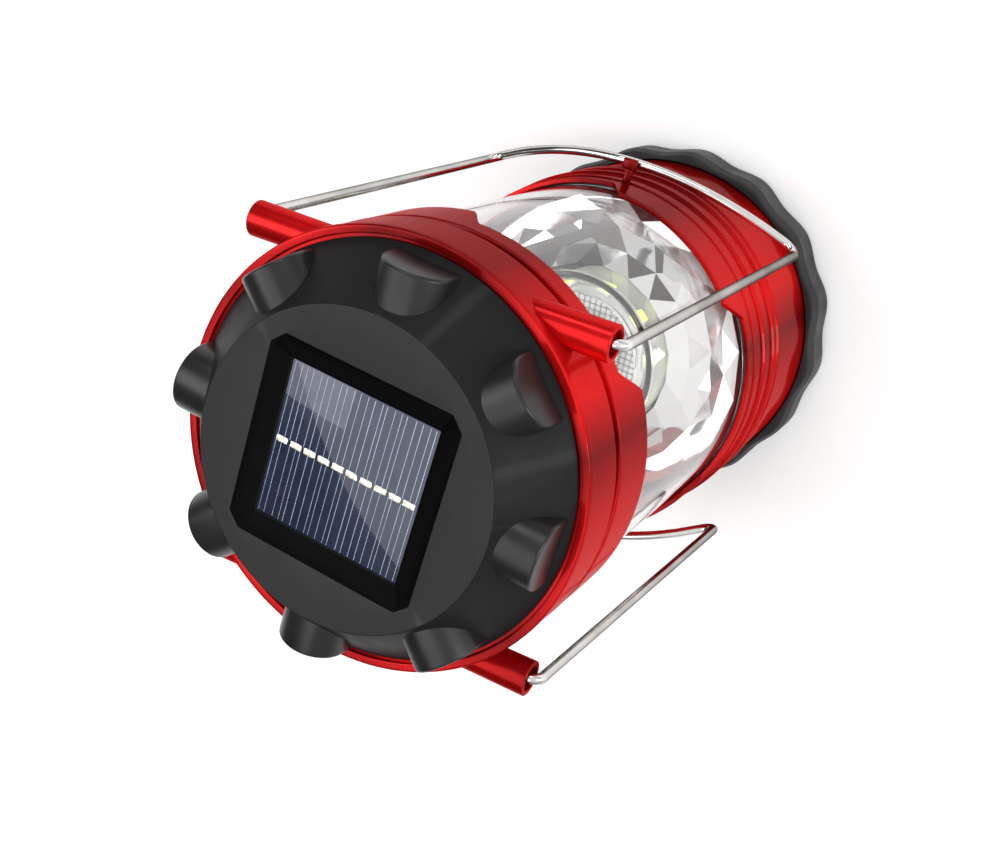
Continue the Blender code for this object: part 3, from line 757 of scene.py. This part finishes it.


# The second material is a painted shade for the recess walls, the third a painted shade for the sloping shoulder
def cap_body(black, gloss, shoulder_shade):
    top, low = CAP_HIGH.z, CAP_LOW.z
    slope = (top - low) / (CAP_R - DISC_R)
    under = top - 4.4
    inner = CAP_R - CAP_WALL
    points = [
        (0.0, top, 0.0),
        (DISC_R - 3.0, top, 0.0),
        (DISC_R, top, 0.55),
        (CAP_R, low + 0.2, 0.35),
        (CAP_R - 0.1, low, 0.1),
        (inner, low, 0.2),
        (inner - (under - low) / slope, under, 0.3),
        (0.0, under, 0.0),
    ]
    cap = lathe("cap_body", rounded(points, 0.3), [black, gloss, shoulder_shade])
    cell_top = CELL_HIGH.z
    overshoot = 1.0
    snug = CELL_HALF + CELL_SLACK
    lean = (RECESS_HALF - snug) / (top - cell_top)
    wide = RECESS_HALF + lean * overshoot
    sections = [
        chamfered_square(snug, 0.4, cell_top),
        chamfered_square(wide, RECESS_CHAMFER + lean * 0.3, top + overshoot),
    ]
    recess = spun(loft(sections), CAP_TURN)
    # Painted shade: the recess walls take the near-black second material, standing in for the shadow in the recess
    for face in recess.faces:
        face.material_index = 1
    cut(cap, recess)
    floor_z = CELL_LOW.z - CELL_SLACK
    sections = [chamfered_square(snug, 0.3, z) for z in (floor_z, cell_top + 0.2)]
    cut(cap, spun(loft(sections), CAP_TURN))
    # Painted shade: the shoulder faces outside the disc take a darker copy of the cap's black
    for face in cap.data.polygons:
        if face.center.to_2d().length > DISC_R * MM and face.normal.z > 0.0:
            face.material_index = 2
    soften(cap.data, 25.0)
    settle(cap, "head", "black_shell", "solar_cap")


def peg_outline(inset, low):
    """A half-round arch with straight feet, drawn in YZ."""
    radius = PEG_R - inset
    axis_z = CAP_HIGH.z - PEG_DROP - PEG_R
    angles = [pi * k / 32 for k in range(33)]
    arch = [(radius * cos(angle), axis_z + radius * sin(angle)) for angle in angles]
    return [(radius, low)] + arch + [(-radius, low)]


def cap_pegs(black):
    """Eight half-round pegs round the cap, with flat outer faces and softened rims."""
    low = CAP_LOW.z + 0.7
    edge = 0.7
    pegs = []
    for k in range(PEG_COUNT):
        sections = []
        for x in (DISC_R - 2.3, PEG_FACE_R - edge):
            sections.append([(x, y, z) for y, z in peg_outline(0.0, low)])
        for step in range(1, 6):
            angle = pi / 2 * step / 5
            x = PEG_FACE_R - edge + edge * sin(angle)
            sections.append([(x, y, z) for y, z in peg_outline(edge * (1 - cos(angle)), low)])
        azimuth = CAP_TURN + tau * k / PEG_COUNT
        pegs.append(spun(loft(sections), azimuth))
    settle(add_piece("cap_pegs", together(pegs), black, 30.0), "head", "black_shell")


def cell_plate(cell):
    thick = (CELL_LOW.z, CELL_HIGH.z)
    bm = block(span(CELL_HALF), span(CELL_HALF), thick, 0.15, 2)
    settle(add_piece("cell_plate", spun(bm, CAP_TURN), cell), "head", "solar_silicon", "solar_cell")


def cell_fingers(metal):
    """Hair-thin collector lines, unevenly spaced, in two rows that don't quite meet at the busbar."""
    high = CELL_HIGH.z
    parts = []
    pitch = 2 * (CELL_HALF - 0.6) / (FINGER_COUNT - 1)
    for row, (y0, y1) in enumerate(((-CELL_HALF + 0.3, -0.5), (0.5, CELL_HALF - 0.3))):
        for k in range(FINGER_COUNT):
            wander = noise.noise(Vector((k * 1.7, row * 5.1, 0.3))) * pitch * 0.55
            x = -CELL_HALF + 0.6 + k * pitch + wander
            half = 0.05 + 0.03 * abs(noise.noise(Vector((k * 2.3, row * 3.7, 1.9))))
            parts.append(block(span(half, x), (y0, y1), (high - 0.02, high + 0.03)))
    settle(add_piece("cell_fingers", spun(together(parts), CAP_TURN), metal), "head")


def cell_busbar(metal):
    """The broken busbar: ragged solder pads in a row along the cell's middle."""
    high = CELL_HIGH.z
    pitch = 2 * (CELL_HALF - 0.2) / PAD_COUNT
    parts = []
    for k in range(PAD_COUNT):
        middle = -CELL_HALF + 0.2 + pitch * (k + 0.5)
        outline = []
        for step in range(28):
            angle = tau * step / 28
            square = max(abs(cos(angle)), abs(sin(angle)))
            ragged = 1.0 + 0.16 * noise.noise(Vector((cos(angle) * 2.1, sin(angle) * 2.1, k * 3.3)))
            x = PAD_HALF[0] * cos(angle) / square * ragged
            y = PAD_HALF[1] * sin(angle) / square * ragged
            outline.append((middle + x, y))
        sections = []
        for inset, z in ((1.0, high - 0.05), (1.0, high + 0.05), (0.9, high + 0.12), (0.5, high + 0.16)):
            sections.append([(middle + (x - middle) * inset, y * inset, z) for x, y in outline])
        parts.append(loft(sections))
    settle(add_piece("cell_busbar", spun(together(parts), CAP_TURN), metal, 60.0), "head")


# The bails


def blend_corner(centre, start, end, radius, steps):
    """Points round the corner at centre between straight runs to start and end."""
    back = (start - centre).normalized()
    ahead = (end - centre).normalized()
    half = back.angle(ahead) / 2
    hub = centre + (back + ahead).normalized() * (radius / sin(half))
    run = radius / tan(half)
    first = centre + back * run - hub
    last = centre + ahead * run - hub
    angle = first.angle(last)
    result = []
    for k in range(steps + 1):
        share = k / steps
        weights = sin((1 - share) * angle), sin(share * angle)
        result.append(hub + (first * weights[0] + last * weights[1]) / sin(angle))
    return result


def bail_path():
    """One bail's centre line from its hinge axis: +Y is away from the body and -Z is down the legs."""
    low_x = BAIL_HIGH.x - WIRE_R + 0.1
    low_y = BAIL_LONG * sin(BAIL_LEAN)
    low_z = -BAIL_LONG * cos(BAIL_LEAN)
    arch_y = BAIL_HIGH.y - WIRE_R - HINGES["rear_bail_hinge"].y
    bar = []
    steps = 48
    for k in range(steps + 1):
        share = 2.0 * k / steps - 1.0
        swell = 1.0 - share * share
        bar.append(Vector((share * low_x, low_y + (arch_y - low_y) * swell, low_z + BAIL_BOW * swell)))
    eye = Vector((BAIL_TOP_X, 0.0, 0.0))
    right = [Vector((33.5, 0.0, 0.0))]
    right += blend_corner(eye, right[0], bar[-1], 2.4, 10)
    right += blend_corner(bar[-1], eye, bar[-4], BAIL_CORNER_BEND, 12)
    left = [Vector((-p.x, p.y, p.z)) for p in right]
    return left + bar[5:-5] + right[::-1]


def bail(name, hinge_name, side, chrome, node, body):
    hinge = HINGES[hinge_name]
    points = [hinge + Vector((p.x, side * p.y, p.z)) for p in bail_path()]
    count = 20
    sections = []
    for i, point in enumerate(points):
        ahead = points[min(i + 1, len(points) - 1)] - points[max(i - 1, 0)]
        ahead.normalize()
        across = ahead.cross(Vector((0.0, 1.0, 0.0)))
        if across.length < 0.1:
            across = ahead.cross(Vector((0.0, 0.0, 1.0)))
        across.normalize()
        third = ahead.cross(across)
        ring = []
        for k in range(count):
            angle = tau * k / count
            ring.append(point + (across * cos(angle) + third * sin(angle)) * WIRE_R)
        sections.append(ring)
    settle(add_piece(name, loft(sections), chrome, 50.0), body, "chrome_wire", node)


# The lens stage


def lens(clear):
    wall = tube("lens", LENS_WALL, LENS_LOW.z, LENS_HIGH.z, LENS_R, clear, 0.35)
    settle(wall, "lens", "clear_lens", "lens_tube")


# The lamp


def facet(k, ring):
    """A small fixed offset for one facet corner, so that neighbouring facets face apart."""
    return noise.noise(Vector((k * 1.37, ring * 2.91, 0.7)))


def dish_ring(bm, radius, z, index=0):
    """One ring of the dish's corners. Those of the inner rings turn and tip their own way."""
    ring = []
    for k in range(DISH_COLUMNS):
        angle = tau * (k + 0.5 * (index % 2)) / DISH_COLUMNS
        lift = DISH_LIFT * facet(k, index) if 0 < index < len(DISH_RINGS) - 1 else 0.0
        ring.append(bm.verts.new((radius * cos(angle), radius * sin(angle), z + lift)))
    return ring


def dish_mesh():
    bm = bmesh.new()
    upper = [dish_ring(bm, radius, z, index) for index, (radius, z) in enumerate(DISH_RINGS)]
    halves = (((0, 1, 3), (1, 2, 3)), ((0, 1, 2), (0, 2, 3)))  # the two ways to split four corners
    pairs = [(k, (k + 1) % DISH_COLUMNS) for k in range(DISH_COLUMNS)]
    for index, (inner, outer) in enumerate(zip(upper, upper[1:])):
        for k, j in pairs:
            corners = inner[k], outer[k], outer[j], inner[j]
            for half in halves[index % 2]:
                bm.faces.new([corners[c] for c in half])
    foot = dish_ring(bm, DISH_RINGS[-1][0], DISH_LOW.z)
    neck = dish_ring(bm, DISH_RINGS[0][0], DISH_LOW.z + 4.8)
    for inner, outer in ((upper[-1], foot), (foot, neck), (neck, upper[0])):
        for k, j in pairs:
            bm.faces.new((inner[k], inner[j], outer[j], outer[k]))
    return bm


def dish(plate, dark_reflection_plate):
    """The faceted reflector round the lamp: rings of flat facets, each tipped its own way, some inner ones painted
    dark as painted reflections.
    """
    thing = add_piece("dish", dish_mesh(), [plate, dark_reflection_plate], smooth=0.0)
    # Painted reflections: inner facets at the listed azimuths take the dark second plate
    for face in thing.data.polygons:
        azimuth = degrees(atan2(face.center.y, face.center.x))
        dark = any(start < azimuth < end for start, end in PAINTED_REFLECTION_FACETS)
        if dark and face.index % 3 and face.center.to_2d().length < DISH_RINGS[2][0] * MM:
            face.material_index = 1
    settle(thing, "base", "plated_reflector", "lower_reflector")


def lamp_drum(clear, dotted_top):
    """The clear drum over the lamp. Its dished top carries a grid of small lens dots."""
    top = DRUM_HIGH.z
    outer = [(0.0, DRUM_TOP_Z)]
    for k in range(1, DOT_ROWS + 1):
        outer.append((DOTS_R * k / DOT_ROWS, DRUM_TOP_Z + DRUM_DISH * (k / DOT_ROWS) ** 2))
    rim = [
        (DOTS_R + 0.6, DRUM_TOP_Z + 1.5, 0.0),
        (DRUM_BORE_R, top - 0.5, 0.5),
        (DRUM_BORE_R + 0.5, top, 0.3),
        (DRUM_R, top, 0.3),
        (DRUM_R, DRUM_LOW.z, 0.2),
        (DRUM_BORE_R, DRUM_LOW.z, 0.2),
        (DRUM_BORE_R, 71.6, 0.5),
        (17.0, 68.9, 0.5),
        (0.0, 67.6, 0.0),
    ]
    profile = outer + rounded(rim, 0.3)

    def dotted(index, azimuth, radius, z):
        if index >= len(outer) - 2:
            return radius, z
        x = radius * cos(radians(azimuth))
        y = radius * sin(radians(azimuth))
        dot = abs(sin(pi * x / DOT_PITCH) * sin(pi * y / DOT_PITCH))
        return radius, z + DOT_HIGH * dot

    drum = lathe("lamp_drum", profile, [clear, dotted_top], 300, (), dotted, 60.0)
    for face in drum.data.polygons:
        if face.center.to_2d().length < DOTS_R * MM and face.normal.z > 0.0:
            face.material_index = 1
    settle(drum, "base", "clear_lens", "lamp_cover")


def led_post(white):
    """The hollow post that holds the LEDs upright inside the drum."""
    post = tube("led_post_shell", 3.0, POST_LOW.z, POST_HIGH.z, POST_HIGH.x, white, 0.5)
    settle(post, "base", "white_plastic", "led_post")


def led_chips(white, yellow):
    """Upright LED packages round the post, each with a raised window of yellow phosphor."""
    low, high, outer = BAND_LOW.z, BAND_HIGH.z, BAND_HIGH.x
    packages = []
    windows = []
    for k in range(CHIP_COUNT):
        turn = CHIP_FIRST + tau * k / CHIP_COUNT
        package = block((outer - 1.5, outer - 0.3), span(CHIP_HALF), (low, high), 0.2)
        half = CHIP_HALF - 0.5
        window = block((outer - 0.8, outer), span(half), (low + 0.5, high - 0.5), 0.28)
        packages.append(spun(package, turn))
        windows.append(spun(window, turn))
    settle(add_piece("led_packages", together(packages), white), "base", "white_plastic")
    settle(add_piece("led_windows", together(windows), yellow), "base", "led_phosphor", "led_ring")


def head_mirror(plate):
    """The plated disc that closes the head, its face turned in shallow rings."""
    low, high, outer = TOP_MIRROR_LOW.z, TOP_MIRROR_HIGH.z, TOP_MIRROR_HIGH.x
    ring_count = 9
    pitch = (outer - 1.5) / ring_count
    face = []
    for k in range(ring_count):
        inner = outer - 1.0 - pitch * k
        face.append((inner, low, 0.3))
        face.append((inner - pitch * 0.75, low + 0.5, 0.3))
    points = [(0.0, high, 0.0), (outer - 0.3, high, 0.2), (outer, low, 0.3), *face, (0.0, low + 0.5, 0.0)]
    mirror = lathe("head_mirror", rounded(points, 0.2), plate)
    settle(mirror, "head", "plated_reflector", "upper_reflector")


def guide_rails(metal):
    """Grey guide strips inside the lens, each with a small foot at its lower end."""
    low, high = RAIL_LOW.z, RAIL_HIGH.z
    rails = []
    for k in range(RAIL_COUNT):
        turn = RAIL_AZIMUTH + tau * k / RAIL_COUNT
        inner, outer = RAIL_R
        strip = block((inner + 0.1, outer), span(RAIL_HALF_WIDTH), (low + 0.6, high), 0.2)
        foot = block((inner, outer), span(RAIL_FOOT_HALF), (low, low + 1.8), 0.25)
        rails += [spun(part, turn) for part in (strip, foot)]
    names = [f"guide_rail_{k + 1}" for k in range(RAIL_COUNT)]
    settle(add_piece("guide_rails", together(rails), metal), "lens", "rail_metal", *names)


# The foot and the underside


def foot_ring(rubber):
    top = RING_HIGH.z
    points = [
        (RING_R - 2.3, top, 0.4),
        (RING_R - 0.9, top, 0.8),
        (RING_R, top - 2.6, 1.5),
        (RING_R, 2.0, 1.5),
        (RING_R - 1.6, 0.0, 0.6),
        (RING_BORE_R, 0.0, 0.3),
        (RING_BORE_R, RING_SEAT[1], 0.3),
        (*RING_SEAT, 0.1),
        (RING_SEAT[0], top, 0.2),
    ]
    profile = rounded(points, 0.4)

    def lobed(index, azimuth, radius, z):
        wave = cos(radians(RING_LOBES * azimuth))
        share = max(0.0, min(1.0, (radius - 44.2) / 1.2))
        return radius + RING_LOBE * wave * share, z

    ring = lathe("foot_ring", profile, rubber, RING_LOBES * 20, (), lobed)
    settle(ring, "base", "black_rubber", "rubber_ring")


def bottom_plate(black):
    """The underside's cover plate: softened rims, two moulded rings and its openings."""
    low, high = COVER_LOW.z, COVER_HIGH.z
    points = [(COVER_BORE_R, high), (COVER_HIGH.x, high), (COVER_HIGH.x, low, 0.5)]
    for groove in COVER_GROOVES:
        points += [(groove, low), (groove - 0.2, low + 0.35), (groove - 0.8, low + 0.35), (groove - 1.0, low)]
    points += [(COVER_BORE_R, low, 0.3)]
    plate = lathe("bottom_plate", rounded(points, 0.15), black)
    low_cut, high_cut = low - 1.0, high + 1.0
    for node in SCREWS:
        hole = turned([(0.0, high_cut), (1.5, high_cut), (1.5, low_cut), (0.0, low_cut)], 40)
        cut(plate, at_node(hole, node))
    well_wall = [(4.3, high_cut), (4.3, low + 0.4), (4.9, low_cut)]
    well = turned([(0.0, high_cut), *well_wall, (0.0, low_cut)], 80)
    cut(plate, at_node(well, "power_button"))
    middle = centre("charge_socket")
    slot = block(span(5.3, middle.x), span(3.3, middle.y), (low_cut, high_cut), 0.6)
    cut(plate, slot)
    soften(plate.data, 30.0)
    settle(plate, "base", "black_plastic", "bottom_cover")


def cover_screws(metal):
    """The cover's pan-head screws with their cross slots."""
    screws = []
    for node in SCREWS:
        low, high = reach(node)
        seat = low.z + 1.5
        points = [(0.0, high.z, 0.0), (0.5, high.z), (1.2, high.z - 1.2)]
        for turn in range(1, int(high.z - 1.2) - int(seat)):
            crest_z = high.z - 1.2 - turn
            points += [(1.2, crest_z + 0.3, 0.05), (0.95, crest_z - 0.3, 0.05)]
        points += [(1.2, seat), (2.3, seat), (2.3, seat - 0.5), (1.7, low.z, 0.6), (0.0, low.z, 0.0)]
        screw = turned(rounded(points, 0.15), 48)
        screws.append(at_node(screw, node))
    thing = add_piece("cover_screws", together(screws), metal)
    for node in SCREWS:
        middle = centre(node)
        low = reach(node)[0].z
        for x, y in ((1.4, 0.28), (0.28, 1.4)):
            cut(thing, block(span(x, middle.x), span(y, middle.y), (low - 0.5, low + 0.8)))
    soften(thing.data, 35.0)
    settle(thing, "base", "plated_steel", *SCREWS)


def power_key(rubber):
    """The button: a domed rubber cap with a dimple and a sealing flange."""
    low, high = reach("power_button")
    points = [(0.0, high.z, 0.0), (1.5, high.z), (1.5, 6.3), (5.2, 6.3), (5.2, 5.1), (4.0, 5.1, 0.3)]
    points += [(4.0, low.z + 0.5, 0.9), (2.2, low.z, 0.4), (1.6, low.z + 0.25, 0.3), (0.0, low.z + 0.35, 0.0)]
    key = at_node(turned(rounded(points, 0.2), 96), "power_button")
    settle(add_piece("power_key", key, rubber), "button", "black_rubber", "power_button")


def torch_mirror(plate):
    """The torch's parabolic mirror."""
    low, high = reach("torch_reflector")
    wide, narrow = high.x - 1.1, 3.4
    apex = high.z - 0.2
    focal = (wide**2 - narrow**2) / (apex - low.z)
    steps = 36
    inside = []
    for k in range(steps + 1):
        radius = wide + (narrow - wide) * k / steps
        inside.append((radius, low.z + (wide**2 - radius**2) / focal))
    outside = [(r + 1.1, z + 0.2) for r, z in inside[::-1]]
    outside[-1] = (wide + 1.1, low.z)
    settle(lathe("torch_mirror", inside + outside, plate), "base", "plated_reflector", "torch_reflector")


def torch(black, clear, plate, yellow):
    """The torch in the underside: bezel, window, mirror and domed emitter."""
    low, high = reach("torch_bezel")
    points = [(TORCH_BORE_R, high.z), (TORCH_RIM_R, high.z), (TORCH_RIM_R, 2.5), (high.x, 2.5, 0.2)]
    points += [(high.x - 0.5, low.z, 0.6), (17.2, low.z, 0.3), (TORCH_BORE_R, low.z + 0.7, 0.2)]
    settle(lathe("torch_rim", rounded(points, 0.2), black), "base", "black_plastic", "torch_bezel")
    low, high = reach("torch_lens")
    points = [(0.0, high.z, 0.0), (high.x, high.z), (high.x, low.z), (0.0, low.z, 0.0)]
    window = lathe("torch_window", rounded(points, 0.3), clear)
    settle(window, "base", "clear_lens", "torch_lens")
    torch_mirror(plate)
    low, high = reach("torch_led")
    points = [(0.0, low.z, 0.0), (1.3, low.z + 0.1, 0.9), (high.x, low.z + 1.4, 0.6), (high.x, high.z, 0.1)]
    dome = lathe("torch_dome", rounded(points + [(0.0, high.z, 0.0)], 0.2), yellow)
    settle(dome, "base", "led_phosphor", "torch_led")


def socket_shell(metal, black):
    """The charging inlet: a folded metal shell round a black tongue."""
    low, high = reach("charge_socket")
    middle = centre("charge_socket")
    shell = add_piece("socket_shell", block((low.x, high.x), (low.y, high.y), (low.z, high.z), 0.5), metal)
    cut(shell, block((low.x + 0.7, high.x - 0.7), span(1.5, middle.y), (low.z - 1.0, 9.0), 0.5))
    soften(shell.data, 35.0)
    settle(shell, "base", "plated_steel", "charge_socket")
    tongue = block((low.x + 2.2, high.x - 2.2), span(0.35, middle.y), (low.z + 1.2, 9.3), 0.15)
    settle(add_piece("socket_tongue", tongue, black), "base", "black_plastic")


# Stage: camera, floor and lights

CAMERA_PLACE = Vector((0.114613, 0.108233, 0.385291))
CAMERA_LOOK = Vector((-0.353045, -0.356766, -0.864915))
CAMERA_UP = Vector((-0.337407, 0.910785, -0.237963))
FOCAL_SHARE = 1.43993  # focal length over picture width
AIM = Vector((0.0, 0.0, 0.1))
UP = Vector((0.0, 0.0, 1.0))
ROOM_WINDOW = Vector((0.8, 0.2, 0.6))
ROOM_LIGHT = (0.08, 1.1)  # the room's brightness away from its bright side and towards it
SIDE_LIGHTS = (
    ("key", (-0.05, 0.75, 0.50), (0.7, 0.22), 4.0),
    ("side", (0.75, 0.10, 0.32), (0.18, 0.5), 8.5),
    ("back", (-0.62, 0.12, 0.80), (0.6, 0.6), 2.4),
)  # name, place, size in metres, radiance
# The overhead softbox's near edge shows in the cell's gloss as a slanting line
OVERHEAD_PLACE = Vector((-0.074, -0.0735, 0.857))
OVERHEAD_FACE = Vector((0.42, 0.41, -0.81))
OVERHEAD_EDGE = Vector((0.684, 0.64, 0.35))


def turn_to(look, up):
    """The rotation of a camera or light that looks along look, with up upwards in its view."""
    right = look.cross(up).normalized()
    over = right.cross(look).normalized()
    return Matrix((right, over, -look.normalized())).transposed()


def camera():
    data = bpy.data.cameras.new("camera")
    data.sensor_width = 36.0
    data.lens = 36.0 * FOCAL_SHARE
    data.clip_start = 0.01
    thing = linked("camera", data)
    thing.matrix_world = Matrix.Translation(CAMERA_PLACE) @ turn_to(CAMERA_LOOK, CAMERA_UP).to_4x4()
    bpy.context.scene.camera = thing


def softbox(name, place, look, up, size, radiance):
    """A soft rectangular light at place. Its radiance doesn't change with its size."""
    data = bpy.data.lights.new(name, "AREA")
    data.shape = "RECTANGLE"
    data.size, data.size_y = size
    data.energy = radiance * pi * size[0] * size[1]
    thing = linked(name, data)
    rotation = turn_to(Vector(look).normalized(), Vector(up))
    thing.matrix_world = Matrix.Translation(place) @ rotation.to_4x4()


def studio():
    bm = bmesh.new()
    bmesh.ops.create_grid(bm, x_segments=1, y_segments=1, size=4000.0)
    floor = add_piece("floor", bm, floor_paper(), smooth=0.0)
    world = bpy.data.worlds.new("studio")
    bpy.context.scene.world = world
    room = Nodes(world, "Generated")
    toward = room.maths("DOT_PRODUCT", room.place, ROOM_WINDOW.normalized(), kind="VectorMath")
    glow = room.nodes["Background"].inputs
    room.links.new(room.range(toward, *ROOM_LIGHT, (0.0, 0.9)), glow["Strength"])
    glow["Color"].default_value = (1.0, 1.0, 1.0, 1.0)
    softbox("overhead", OVERHEAD_PLACE, OVERHEAD_FACE, OVERHEAD_EDGE, (1.0, 0.7), 1.9)
    for name, place, size, radiance in SIDE_LIGHTS:
        softbox(name, place, AIM - Vector(place), UP, size, radiance)


def slot_materials():
    """A finish for each material slot of the record."""
    return {
        "red_shell": red_lacquer(),
        "black_shell": moulded("cap_black", (0.018, 0.018, 0.0182), 0.55, specular=0.18),
        "black_plastic": moulded("black_plastic", (0.03, 0.03, 0.031), 0.5),
        "white_plastic": moulded("white_plastic", (0.72, 0.72, 0.70), 0.5),
        "black_rubber": rubber_mat(),
        "chrome_wire": chrome_wire(),
        "plated_reflector": plated("mirror_plate"),
        "clear_lens": clear_plastic("clear_plastic", ior=1.2),
        "solar_silicon": silicon(),
        "white_board": board("white_board", (0.78, 0.80, 0.76)),
        "green_board": board("green_board", (0.02, 0.16, 0.06)),
        "plated_steel": steel("plated_steel", (0.6, 0.6, 0.58)),
        "rail_metal": moulded("rail_grey", (0.035, 0.033, 0.031), 0.45, 1800.0, specular=0.12),
        "led_phosphor": phosphor(),
        "battery_wrap": moulded("battery_wrap", (0.03, 0.12, 0.32), 0.3),
        "wire_red": moulded("wire_red", (0.5, 0.02, 0.02), 0.45),
        "wire_black": moulded("wire_black", (0.025, 0.025, 0.025), 0.45),
    }


def dress_cad_nodes(mats):
    for entry in frame["record"]["subparts"]:
        node = frame["nodes"][entry["node"]]
        mesh = node.data
        mesh.materials.clear()
        mesh.materials.append(mats[entry["material_slot"]])
        bevel = node.modifiers.new("softened", "BEVEL")
        bevel.width = 0.12 * MM
        bevel.segments = 2
        bevel.limit_method = "ANGLE"
        bevel.angle_limit = radians(40.0)


def main():
    camera()
    studio()
    mats = slot_materials()
    dress_cad_nodes(mats)
    # Painted shade: a near-black copy of the cap's plastic for the recess walls
    gloss = moulded("cap_recess_shade", (0.0012, 0.0012, 0.0012), 0.45, 1800.0, 0.06, 0.03, specular=0.02)
    # Painted shade: a darker copy of the cap's plastic for the sloping shoulder
    shoulder = moulded("cap_shoulder_shade", (0.009, 0.009, 0.0092), 0.48, specular=0.1)
    pegs = moulded("peg_black", (0.0095, 0.0095, 0.0098), 0.33, 2200.0, 0.06, 0.04, specular=0.32)

    head_shell(mats["red_shell"])
    bail_tubes(mats["red_shell"])
    cap_body(mats["black_shell"], gloss, shoulder)
    cap_pegs(pegs)
    cell_plate(mats["solar_silicon"])
    cell_fingers(steel("finger_silver", (0.36, 0.42, 0.54)))
    cell_busbar(solder())
    bail("bail_near", "rear_bail_hinge", 1, mats["chrome_wire"], "rear_bail", "bail_rear")
    bail("bail_far", "front_bail_hinge", -1, mats["chrome_wire"], "front_bail", "bail_front")
    lens(mats["clear_lens"])
    base_shell(mats["red_shell"])
    bail_keepers(mats["red_shell"])
    # The second, dark plate is a painted reflection of dark surroundings on some facets
    dish(plated("dish_plate", (0.80, 0.79, 0.78)), plated("dish_painted_reflection", (0.05, 0.046, 0.04)))
    lamp_drum(clear_plastic("drum_clear", (0.98, 0.985, 0.98), 0.01, 1.4), dotted_clear())
    led_post(mats["white_plastic"])
    led_chips(mats["white_plastic"], mats["led_phosphor"])
    head_mirror(mats["plated_reflector"])
    guide_rails(mats["rail_metal"])
    foot_ring(mats["black_rubber"])
    bottom_plate(mats["black_plastic"])
    cover_screws(mats["plated_steel"])
    power_key(mats["black_rubber"])
    torch(mats["black_plastic"], mats["clear_lens"], mats["plated_reflector"], mats["led_phosphor"])
    socket_shell(mats["plated_steel"], mats["black_plastic"])


main()
bpy.context.scene.view_settings.view_transform = "Standard"
